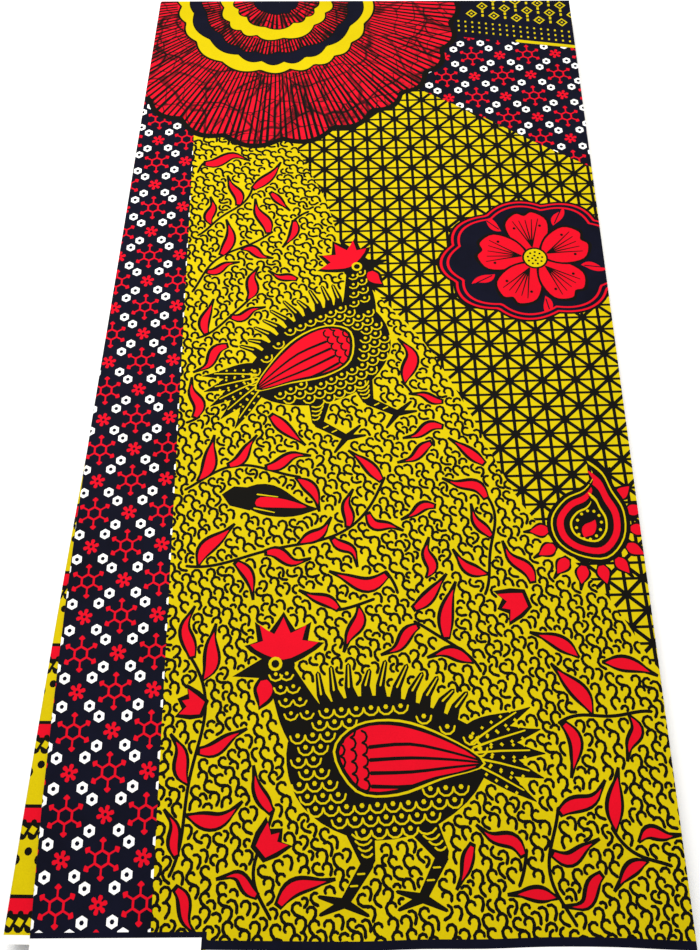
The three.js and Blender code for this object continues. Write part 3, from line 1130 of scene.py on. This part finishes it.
def grid_points(fold, step, under_step, under_inset):
    """Points spread over both leaves, so that the cloth can swell and crease between its inks"""
    near, far = fold["near"], fold["far"]
    points = []
    for y in even_rows(near + step / 2, far - step / 2 - 1, step):
        across = np.arange(step / 2, float(flat_reach(fold, y)) - NOSE_CLEAR[0], step)
        points.append(lay_flat(fold, across, y))
    for y in even_rows(near + under_step / 2, far - under_step / 2, under_step):
        start = float(flat_reach(fold, y)) + math.pi * FOLD_RADIUS + NOSE_CLEAR[1]
        across = np.arange(start, cloth_end(fold, y, under_inset) - EDGE_CLEAR, under_step)
        points.append(lay_flat(fold, across, y))
    return [tuple(point) for point in np.vstack(points)]


def triangulate(outlines, lines, points):
    """Triangles of the first outline, cut along all the others. Also says which outlines hold each."""
    corners, edges, faces = [], [], []
    for line in lines:
        edges += [(len(corners) + k, len(corners) + k + 1) for k in range(len(line) - 1)]
        corners += [tuple(point) for point in line]
    for outline in outlines:
        outline = counter_clockwise(outline)
        faces.append(list(range(len(corners), len(corners) + len(outline))))
        corners += [tuple(point) for point in outline]
    corners += points
    corners = [Vector(corner) for corner in corners]
    made, _, triangles, _, _, owners = delaunay_2d_cdt(corners, edges, faces, 0, MERGED, True)
    kept = [k for k, owner in enumerate(owners) if 0 in owner]
    used, triangles = np.unique([triangles[k] for k in kept], return_inverse=True)
    triangles = [tuple(triangle) for triangle in triangles.reshape(-1, 3).tolist()]
    return np.array([tuple(made[k]) for k in used]), triangles, [owners[k] for k in kept]


def is_bounded(shape, present):
    """Whether all the shapes that bound a shape are present too"""
    within = shapes[shape][2]
    return within is None or (within in present and is_bounded(within, present))


def cut_into_inks(outline, lines, points):
    """The flat cloth as triangles, with the ink of each: that of the last shape laid on it"""
    lows = np.array([shape[1].min(0) for shape in shapes])
    highs = np.array([shape[1].max(0) for shape in shapes])
    laid = np.flatnonzero((highs > outline.min(0)).all(1) & (lows < outline.max(0)).all(1))
    made, triangles, owners = triangulate([outline] + [shapes[k][1] for k in laid], lines, points)
    lows, highs = lows - INK_SLACK, highs + INK_SLACK
    inks = []
    for middle, owner in zip(made[np.array(triangles)].mean(1), owners):
        holders = laid[[k - 1 for k in owner if k]]
        inside = (middle > lows[holders]).all(1) & (middle < highs[holders]).all(1)
        present = set(holders[inside].tolist())
        top = max(shape for shape in present if is_bounded(shape, present))
        inks.append(shapes[top][0])
    return made, triangles, inks


def rim_of(triangles, inks):
    """The corners round a sheet of triangles in order, and the ink beside each"""
    beside = {}
    for triangle, ink in zip(triangles, inks):
        for a, b in zip(triangle, triangle[1:] + triangle[:1]):
            beside[a, b] = ink
    following = {a: b for a, b in beside if (b, a) not in beside}
    loop = [min(following)]
    while following[loop[-1]] != loop[0]:
        loop.append(following[loop[-1]])
    return loop, [beside[a, following[a]] for a in loop]


BAKE_MARGIN = 0.01
BAKE_SHOWN = 0.52
BAKE_SHOWN_WIDTH = 0.93
BAKE_HIDDEN_WIDTH = 0.03
BAKE_INSIDE = 0.977
BAKE_INSIDE_WIDTH = 0.013
BAKE_RIM = 0.0015
BAKE_AT_EDGE = 0.4999  # as a share of the map, from its middle


def bake_places(fold, flat, under_inset):
    """Places on the flat map of the finish, which gives the upper leaf nearly all the room"""
    across, along = lift_off_flat(fold, flat)
    share = across / cloth_end(fold, along, under_inset)
    shown = np.minimum(share / BAKE_SHOWN, 1) * BAKE_SHOWN_WIDTH
    hidden = np.maximum(share - BAKE_SHOWN, 0) / (1 - BAKE_SHOWN) * BAKE_HIDDEN_WIDTH
    height = BAKE_MARGIN + (1 - 2 * BAKE_MARGIN) * flat[:, 1] / (fold["far"] - fold["near"])
    return share, np.column_stack([BAKE_MARGIN + shown + hidden, height])


def away_from_middle(bake):
    """Which way the rim lies from the middle of the flat map: -1, 0 or 1 each way"""
    place = np.round((bake - bake.min(0)) / np.ptp(bake, 0), 5) - 0.5
    return np.sign(place) * (np.abs(place) > BAKE_AT_EDGE)


def rim_places(fold, flat, share, inset, rise, under_inset):
    """One ring of the rim, at a share of the cloth's depth and drawn in from the edge"""
    across, _ = lift_off_flat(fold, flat)
    width, length = cloth_end(fold, fold["near"], under_inset), fold["far"] - fold["near"]
    across = across + inset * (1 - 2 * across / width)
    along = flat[:, 1] + inset * (1 - flat[:, 1] / length) + fold["near"]
    return place_on_fold(fold, across, along, share, rise)


def shell_places(fold, flat, rim, inner, rise, under_inset):
    """Every corner of the shell in turn: the printed face, the rings of the rim, and the inside"""
    places = [place_on_fold(fold, *lift_off_flat(fold, flat), 0, rise)]
    places += [rim_places(fold, rim, share, inset, rise, under_inset) for share, inset in RIM[:-1]]
    places.append(place_on_fold(fold, *lift_off_flat(fold, inner), RIM[-1][0], rise))
    return np.vstack(places)


def shell_rings(loop, first_of_rim, rim, inner):
    """The corners of each ring, from the printed face to the inside, where the nearest ones serve"""
    count, rows = len(loop), len(RIM) - 1
    rings = [loop]
    rings += [[first_of_rim + count * row + k for k in range(count)] for row in range(rows)]
    nearest = [int(np.argmin(((inner - point) ** 2).sum(1))) for point in rim]
    return rings + [[first_of_rim + count * rows + corner for corner in nearest]]


def shell_bakes(fold, flat, loop, inner, under_inset):
    """Where the printed face, each ring and the inside lie on the flat map of the finish"""
    _, outer = bake_places(fold, flat, under_inset)
    inner_share, inside = bake_places(fold, inner, under_inset)
    inside[:, 0] = BAKE_INSIDE + BAKE_INSIDE_WIDTH * inner_share
    outward = away_from_middle(outer[loop])
    return outer, [outer[loop] + outward * BAKE_RIM * row for row in range(len(RIM) + 1)], inside


def make_folded_cloth(name, node, side, under_inset, rise, step, under_step):
    """A fold as one closed shell: the printed face, the rim with its two layers, and the inside"""
    fold = read_fold(node, side)
    lines = bend_lines(fold)
    outline, points = sheet_outline(fold, under_inset), grid_points(fold, step, under_step, under_inset)
    flat, triangles, inks = cut_into_inks(outline, lines, points)
    loop, rim_inks = rim_of(triangles, inks)
    rim = flat[loop]
    inner, inner_triangles, _ = triangulate([rim], lines, grid_points(fold, *INSIDE_STEPS, under_inset))
    places = shell_places(fold, flat, rim, inner, rise, under_inset)
    rings = shell_rings(loop, len(flat), rim, inner)
    outer_bake, ring_bakes, inner_bake = shell_bakes(fold, flat, loop, inner, under_inset)

    faces = [list(triangle) for triangle in triangles]
    bake = [outer_bake[np.array(triangles).ravel()]]
    slots = [INK_ORDER.index(ink) for ink in inks]
    for row in range(len(rings) - 1):
        for k, ink in enumerate(rim_inks):
            after = (k + 1) % len(loop)
            sides = [(row, after), (row, k), (row + 1, k), (row + 1, after)]
            faces.append([rings[ring][corner] for ring, corner in sides])
            bake.append(np.array([ring_bakes[ring][corner] for ring, corner in sides]))
            slots.append(INK_ORDER.index(ink))
    first_inner = len(places) - len(inner)
    for triangle in inner_triangles:
        faces.append([first_inner + corner for corner in triangle[::-1]])
        bake.append(inner_bake[list(triangle[::-1])])
        slots.append(0)
    return finish_cloth(name, places, faces, slots, np.vstack(bake))


def finish_cloth(name, places, faces, slots, bake):
    mesh = bpy.data.meshes.new(name)
    mesh.from_pydata([tuple(place) for place in places], [], faces)
    for ink in INK_ORDER:
        mesh.materials.append(INKS[ink])
    mesh.polygons.foreach_set("material_index", slots)
    mesh.uv_layers.new(name="OFBake").data.foreach_set("uv", bake.ravel())
    mesh.shade_smooth()
    mesh.set_sharp_from_angle(angle=SHARP_EDGE)
    cloth = bpy.data.objects.new(name, mesh)
    bpy.context.collection.objects.link(cloth)
    return cloth


# The finish: plain woven cotton, dyed through, with a faint sheen. The wheel's red is crackled where
# the wax broke in the dye bath.
CLOUD = (28.0, 5.0, 0.65)  # scale, detail and roughness of its noise
CLOUD_RANGE = (0.3, 0.7)
GRAIN = (1400.0, 2.0, 0.6)
GRAIN_TONES = (0.25, 0.75, 0.93, 1.05)  # from the noise's low and high to the darkest and lightest tone
COTTON_ROUGHNESS = 0.72
COTTON_SHEEN = 0.02
SHEEN_ROUGHNESS = 0.45
COTTON_SHINE = 0.06
THREAD_BUMP = {"Strength": 0.35, "Distance": 0.0001}
CRACKLE = [(36.0, 0.05), (70.0, 0.04)]  # how many cracks to a metre, and the width of each
CRACKLE_BEND = 0.045
BEND = (18.0, 3.0, 0.4)
SMOKE = (34.0, 8.0, 0.74)
SMOKE_FADES_VEINS = (0.38, 0.56, 0.6, 1.0)
SMOKE_PATCHES = (0.54, 0.64, 0.0, 0.85)


def linear(red, green, blue):
    """A colour as the eye reads it, 0 to 255, in the light's own measure"""
    tones = []
    for part in (red / 255, green / 255, blue / 255):
        tones.append(part / 12.92 if part < 0.04045 else ((part + 0.055) / 1.055) ** 2.4)
    return (*tones, 1)


def add_node(tree, kind, **inputs):
    node = tree.nodes.new(kind)
    for name, value in inputs.items():
        node.inputs[name.replace("_", " ")].default_value = value
    return node


def add_mix(tree, blend, first, second, factor=1.0):
    """A node that blends two colours; each may be a colour or a socket"""
    mix = tree.nodes.new("ShaderNodeMix")
    mix.data_type = "RGBA"
    mix.blend_type = blend
    for name, value in (("Factor", factor), ("A", first), ("B", second)):
        socket = next(socket for socket in mix.inputs if socket.name == name and socket.enabled)
        if isinstance(value, (tuple, float)):
            socket.default_value = value
        else:
            tree.links.new(value, socket)
    return next(socket for socket in mix.outputs if socket.enabled)


def add_math(tree, operation, first, second):
    node = tree.nodes.new("ShaderNodeMath")
    node.operation = operation
    tree.links.new(first, node.inputs[0])
    tree.links.new(second, node.inputs[1])
    return node.outputs["Value"]


def add_noise(tree, scale, detail, roughness):
    place = tree.nodes.new("ShaderNodeTexCoord")
    noise = add_node(tree, "ShaderNodeTexNoise", Scale=scale, Detail=detail, Roughness=roughness)
    tree.links.new(place.outputs["Object"], noise.inputs["Vector"])
    return noise


def add_range(tree, value, low, high, to_low, to_high):
    """A node that turns values from low to high into values from to_low to to_high"""
    span = add_node(tree, "ShaderNodeMapRange", From_Min=low, From_Max=high, To_Min=to_low, To_Max=to_high)
    tree.links.new(value, span.inputs["Value"])
    return span.outputs["Result"]


def dyed_cotton(name, colour, uneven=0.05):
    """Cotton in one ink: clouded a little by the dye bath, and bumped by its threads"""
    cotton = bpy.data.materials.new(name)
    cotton.use_nodes = True
    tree = cotton.node_tree
    shader = tree.nodes["Principled BSDF"]
    shader.inputs["Roughness"].default_value = COTTON_ROUGHNESS
    shader.inputs["Sheen Weight"].default_value = COTTON_SHEEN
    shader.inputs["Sheen Roughness"].default_value = SHEEN_ROUGHNESS
    shader.inputs["Specular IOR Level"].default_value = COTTON_SHINE
    cloud = add_noise(tree, *CLOUD).outputs["Fac"]
    grain = add_noise(tree, *GRAIN).outputs["Fac"]
    clouds = add_range(tree, cloud, *CLOUD_RANGE, 1 - uneven, 1 + uneven)
    grains = add_range(tree, grain, *GRAIN_TONES)
    clouded = add_mix(tree, "MULTIPLY", linear(*colour), clouds)
    tree.links.new(add_mix(tree, "MULTIPLY", clouded, grains), shader.inputs["Base Color"])
    bump = add_node(tree, "ShaderNodeBump", **THREAD_BUMP)
    tree.links.new(grain, bump.inputs["Height"])
    tree.links.new(bump.outputs["Normal"], shader.inputs["Normal"])
    return cotton


def add_bent_place(tree):
    """Each place in the cloth, moved a little to and fro, so that the cracks aren't straight"""
    place = tree.nodes.new("ShaderNodeTexCoord")
    shift = tree.nodes.new("ShaderNodeVectorMath")
    shift.operation = "MULTIPLY_ADD"
    shift.inputs[1].default_value = (CRACKLE_BEND, CRACKLE_BEND, CRACKLE_BEND)
    tree.links.new(add_noise(tree, *BEND).outputs["Color"], shift.inputs[0])
    tree.links.new(place.outputs["Object"], shift.inputs[2])
    return shift.outputs["Vector"]


def crackle(cotton, vein_colour):
    """Dark veins, where the dye ran into cracks in the wax, and smoky patches round them"""
    tree = cotton.node_tree
    shader = tree.nodes["Principled BSDF"]
    ground = shader.inputs["Base Color"].links[0].from_socket
    bent = add_bent_place(tree)
    smoke = add_noise(tree, *SMOKE).outputs["Fac"]
    fade = add_range(tree, smoke, *SMOKE_FADES_VEINS)
    dark = add_range(tree, smoke, *SMOKE_PATCHES)
    for scale, width in CRACKLE:
        cracks = add_node(tree, "ShaderNodeTexVoronoi", Scale=scale)
        cracks.feature = "DISTANCE_TO_EDGE"
        tree.links.new(bent, cracks.inputs["Vector"])
        vein = add_range(tree, cracks.outputs["Distance"], width / 3, width, 1.0, 0.0)
        dark = add_math(tree, "MAXIMUM", add_math(tree, "MULTIPLY", vein, fade), dark)
    tree.links.new(add_mix(tree, "MIX", ground, linear(*vein_colour), dark), shader.inputs["Base Color"])
    return cotton


INKS = {
    "yellow": dyed_cotton("mustard_cotton", (200, 178, 0)),
    "red": dyed_cotton("scarlet_cotton", (211, 6, 31)),
    "navy": dyed_cotton("indigo_cotton", (9, 10, 26), 0.35),
    "black": dyed_cotton("black_cotton", (12, 10, 6), 0.12),
    "white": dyed_cotton("undyed_cotton", (245, 243, 239)),
    "wheel_red": crackle(dyed_cotton("crackled_cotton", (212, 10, 36)), (38, 9, 13)),
}
INK_ORDER = list(INKS)

CREASES = [  # from x, y to x, y on the leaf, the half width of the crease and its height, in millimetres
    (-60, 120, 20, 100, 16, 0.25),
    (30, 240, 120, 262, 22, -0.3),
    (-130, 330, -60, 322, 18, 0.3),
    (0, 420, 90, 405, 24, -0.25),
    (70, 60, 140, 70, 18, 0.3),
]
TOP_SWELL = 0.75


def loose_leaf(share, along):
    """How far the top leaf lifts off the leaves under it: a low swell, and a few soft creases"""
    share_along = (along - top_low.y / MM) / ((top_high.y - top_low.y) / MM)
    on_leaf = np.clip(share, 0, 1)
    swell = TOP_SWELL * np.sin(math.pi * on_leaf) * np.sin(math.pi * np.clip(share_along, 0, 1))
    x, y = LEAF_EDGE - LEAF_WIDTH * share, along - PRINT_START / MM
    lift = 0 * x
    for x0, y0, x1, y1, half_width, height in CREASES:
        length = math.hypot(x1 - x0, y1 - y0)
        run = ((x - x0) * (x1 - x0) + (y - y0) * (y1 - y0)) / length
        off = ((x - x0) * (y1 - y0) - (y - y0) * (x1 - x0)) / length
        fade = np.exp(-(((run - length / 2) / (length / 2)) ** 2) * 1.5)
        lift = lift + height * fade * np.exp(-((off / half_width) ** 2))
    return np.where(share < 1, swell + lift * np.sin(math.pi * on_leaf) ** 0.5, 0)


print_lattice_and_worms(random.Random(11))
print_strip()
print_patch()
great_wheel()
print_near_edge()

# The print starts past the bare selvedge, while the cloth is measured from its own edge
shapes[:] = [(ink, outline + (0, SELVEDGE_WIDTH), within) for ink, outline, within in shapes]

top_cloth = make_folded_cloth(
    "printed_top", "top_fold", side=-1, under_inset=1.6, rise=loose_leaf, step=8, under_step=16
)
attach(top_cloth, "root")
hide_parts("top_fold")

# ------------------------------------------------------------------------------------------------
# The fold under it, which lies a little askew and shows along the left of the near end. It is the
# same cloth, further along, and the border of the print runs across its folded edge.
# ------------------------------------------------------------------------------------------------

BORDER_PERIOD = 36.8
BORDER_START = 18.4
BORDER_LINE = 1.5
BORDER_REACH = (-178, -112)
RED_BAR = 6.8
CHAIN_WIDTH = 5.2
CHAIN_LINK = 4.6
FIRST_SPOT = -152
SPOT_SPACING = 11.0
BARE_SELVEDGE = 3.5


def border_row(y):
    """One row of the border: a black line, a red bar, a scalloped chain and two rows of spots"""
    left, right = BORDER_REACH
    chain = y - RED_BAR
    ink_shape("red", block_outline(left, y, right, chain))
    ink_shape("black", ribbon([(left, y), (right, y)], BORDER_LINE))
    ink_shape("black", block_outline(left, chain, right, chain - CHAIN_WIDTH))
    for x in np.arange(left, right, CHAIN_LINK):
        ink_shape("black", placed(ring_of(CHAIN_LINK * 0.48, 10), x, chain - CHAIN_WIDTH))
        ink_shape("black", placed(ring_of(CHAIN_LINK * 0.3, 8), x, chain))
        ink_shape("yellow", placed(ring_of(CHAIN_LINK * 0.44, 4), x, chain - CHAIN_WIDTH * 0.62, turn=18))
    for x in np.arange(FIRST_SPOT, right, SPOT_SPACING):
        ink_shape("black", placed(ring_of(2.3, 10), x, chain - 15.4))
        ink_shape("black", placed(ring_of(1.8, 9), x + SPOT_SPACING / 2, chain - 12.0))


def flat_leaf(share, along):
    """No swell and no creases: the leaves over this one press it flat"""
    return 0 * share


shapes.clear()
ink_shape("yellow", block_outline(FIELD_LEFT, FIELD_LOW, FIELD_RIGHT, FIELD_HIGH))
for row in range(-1, 17):
    border_row(BORDER_START + BORDER_PERIOD * row)
ink_shape("white", block_outline(FIELD_LEFT, FIELD_LOW, FIELD_RIGHT, BARE_SELVEDGE))
skewed_cloth = make_folded_cloth(
    "printed_under", "skewed_fold", side=-1, under_inset=1.2, rise=flat_leaf, step=14, under_step=18
)
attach(skewed_cloth, "root")
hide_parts("skewed_fold")

# ------------------------------------------------------------------------------------------------
# The leaves between, pressed to one block. Only their edges show: folded noses on the left and
# right, two selvedges a leaf at the near end and one round centre fold a leaf at the far end.
# ------------------------------------------------------------------------------------------------

LEAF_COUNT = 13
LEVELS = [0.0, 0.06, 0.25, 0.44, 0.5, 0.56, 0.75, 0.94]
LAYER_GROOVE = 1.1
FOLD_GROOVE = 1.5
BLOCK_CORNER = 3.0
BLOCK_STEP = 5.0
BLOCK_INSETS = (1.2, 1.0, 1.2, 0.7)  # left, right, near and far
SIDE_STRAY = 1.7
NEAR_STRAY = 1.9
FAR_STRAY = 1.0
END_DEPTH = 6.0
EDGE_INKS = ["yellow", "yellow", "black", "red", "navy", "yellow", "black"]

# Where the block's edge and its two faces lie on the flat map of the finish
BAKE_EDGE_WIDTH = 0.98
BAKE_EDGE_HEIGHT = 0.86
BAKE_FACE_LEFTS = (0.02, 0.52)
BAKE_FACE_LOW = 0.9
BAKE_FACE_WIDTH = 0.44
BAKE_FACE_HEIGHT = 0.08

block_low, block_high = (np.array(corner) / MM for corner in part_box("hidden_leaves"))


def nose_inset(phase, depth):
    """How far a fold's round side is drawn in, at a share of its height"""
    return depth * (1 - math.sqrt(max(0.0, 1 - (2 * phase - 1) ** 2)))


def layer_inset(leaf_share):
    """How far the two selvedges of a leaf are drawn in, with a slit between them"""
    phase = leaf_share * 2 % 1
    return LAYER_GROOVE * (1 if phase < 0.05 else 0.25 * (2 * phase - 1) ** 2)


def wander(hand, reach):
    """An uneven edge: how far it strays at a share of the way along it"""
    first, second, third = (hand.uniform(-1, 1) for _ in range(3))

    def stray(share):
        wide, close = math.sin(4 * share + 3 * second), math.sin(11 * share + third)
        return reach * (0.5 * first + 0.3 * wide + 0.2 * close)

    return np.vectorize(stray)


def block_sides(hand):
    """How far the noses on the left and right stray, and then each leaf's near and far ends"""
    pairs = [wander(hand, SIDE_STRAY) for _ in range(2 * LEAF_COUNT + 4)]
    ends = [(wander(hand, NEAR_STRAY), wander(hand, FAR_STRAY)) for _ in range(LEAF_COUNT)]
    return pairs, ends


def rounded_block():
    """The block's outline from above, counter-clockwise, with round corners"""
    ring = []
    around = np.array(block_outline(*block_low[:2], *block_high[:2]))
    for start, end in zip(around, np.roll(around, -1, 0)):
        length = np.linalg.norm(end - start)
        along = (end - start) / length
        middle = start + along * BLOCK_CORNER + np.array([-along[1], along[0]]) * BLOCK_CORNER
        heading = math.degrees(math.atan2(along[1], along[0]))
        ring.append(arc_of(middle, BLOCK_CORNER, heading - 180, 90, 4)[:-1])
        count = int(length / BLOCK_STEP)
        shares = np.arange(count)[:, None] / count
        ring.append(start + along * (BLOCK_CORNER + shares * (length - 2 * BLOCK_CORNER)))
    return np.vstack(ring)


def block_ring(level, pairs, ends):
    """The block's outline at a height counted in leaves"""
    leaf = min(int(level), LEAF_COUNT - 1)
    share = level - leaf
    left_pair, right_pair = leaf // 2, LEAF_COUNT + (leaf + 1) // 2
    insets = [nose_inset((level % 2) / 2, FOLD_GROOVE), nose_inset(((level + 1) % 2) / 2, FOLD_GROOVE)]
    insets += [layer_inset(share), nose_inset(share, FOLD_GROOVE / 2)]
    ring = rounded_block()
    x, y = np.clip((ring - block_low[:2]) / (block_high - block_low)[:2], 0, 1).T
    strays = [pairs[left_pair](y), pairs[right_pair](y), ends[leaf][0](x), ends[leaf][1](x)]
    left, right, near, far = (
        inset + always + stray for inset, always, stray in zip(insets, BLOCK_INSETS, strays)
    )
    ring[:, 0] += left * (1 - x) - right * x
    ring[:, 1] += near * (1 - y) - far * y
    return ring


def runs_of_ink(hand, length):
    """The inks that cross a folded edge, as the runs of the print come round it"""
    inks = []
    while len(inks) < length:
        inks += [hand.choice(EDGE_INKS)] * hand.randint(1, 5)
    return inks[:length]


def run_at(place, leaf, runs):
    """The run of ink that crosses the edge there: a leaf's own far end, or a nose that two leaves share"""
    x, y = place
    on_right = x > (block_low[0] + block_high[0]) / 2
    return runs[leaf if y > block_high[1] - END_DEPTH else LEAF_COUNT + (leaf + on_right) // 2]


def make_block():
    hand = random.Random(21)
    pairs, ends = block_sides(hand)
    levels = [leaf + part for leaf in range(LEAF_COUNT) for part in LEVELS] + [LEAF_COUNT]
    rings = [block_ring(level, pairs, ends) for level in levels]
    around = len(rings[0])
    heights = block_low[2] + (block_high[2] - block_low[2]) / LEAF_COUNT * np.array(levels)
    places = [np.column_stack([ring, np.full(around, height)]) for ring, height in zip(rings, heights)]
    at_near_end = rings[0][:, 1] < block_low[1] + END_DEPTH
    runs = [runs_of_ink(hand, around) for _ in range(2 * LEAF_COUNT + 2)]
    faces, slots, bake = [], [], []
    for row in range(len(levels) - 1):
        for k in range(around):
            after = (k + 1) % around
            sides = [(row, k), (row, after), (row + 1, after), (row + 1, k)]
            faces.append([ring * around + corner for ring, corner in sides])
            bare = at_near_end[k] and at_near_end[after]
            ink = "white" if bare else run_at(rings[0][k], int(levels[row]), runs)[k]
            slots.append(INK_ORDER.index(ink))
            for step, rise in ((0, 0), (1, 0), (1, 1), (0, 1)):
                height = BAKE_MARGIN + BAKE_EDGE_HEIGHT * (row + rise) / len(levels)
                bake.append(((k + step) / around * BAKE_EDGE_WIDTH + BAKE_MARGIN, height))
    for row, left in zip((0, len(levels) - 1), BAKE_FACE_LEFTS):
        loop = list(range(row * around, (row + 1) * around))
        faces.append(loop[::-1] if row == 0 else loop)
        slots.append(INK_ORDER.index("yellow"))
        for corner in faces[-1]:
            across, along = (rings[0][corner % around] - block_low[:2]) / (block_high - block_low)[:2]
            bake.append((left + BAKE_FACE_WIDTH * along, BAKE_FACE_LOW + BAKE_FACE_HEIGHT * across))
    return finish_cloth("leaf_block", np.vstack(places) * MM, faces, slots, np.array(bake))


leaf_block = make_block()
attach(leaf_block, "root")
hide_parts("hidden_leaves")

# ------------------------------------------------------------------------------------------------
# The bottom fold: the last two leaves of the same cotton, face down, with their nose on the right.
# The strip of stars runs round that nose, and the rest is plain. The bundle lies on its flat underside.
# ------------------------------------------------------------------------------------------------

BOTTOM_LEFT, BOTTOM_RIGHT = -FIELD_RIGHT, 470
NOSE_STRIP = (100, 190)

shapes.clear()
ink_shape("yellow", block_outline(BOTTOM_LEFT, FIELD_LOW, BOTTOM_RIGHT, FIELD_HIGH))
nose_strip = ink_shape("navy", block_outline(NOSE_STRIP[0], FIELD_LOW, NOSE_STRIP[1], FIELD_HIGH))
molecule_repeat((118.0, 12.0), STAR_SPACING, turn=0.0, columns=(-1, 4), rows=(-1, 33), within=nose_strip)
ink_shape("white", block_outline(BOTTOM_LEFT, FIELD_LOW, BOTTOM_RIGHT, BARE_SELVEDGE))
bottom_cloth = make_folded_cloth(
    "printed_bottom", "bottom_fold", side=1, under_inset=3.0, rise=flat_leaf, step=14, under_step=18
)
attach(bottom_cloth, "root")
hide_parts("bottom_fold")
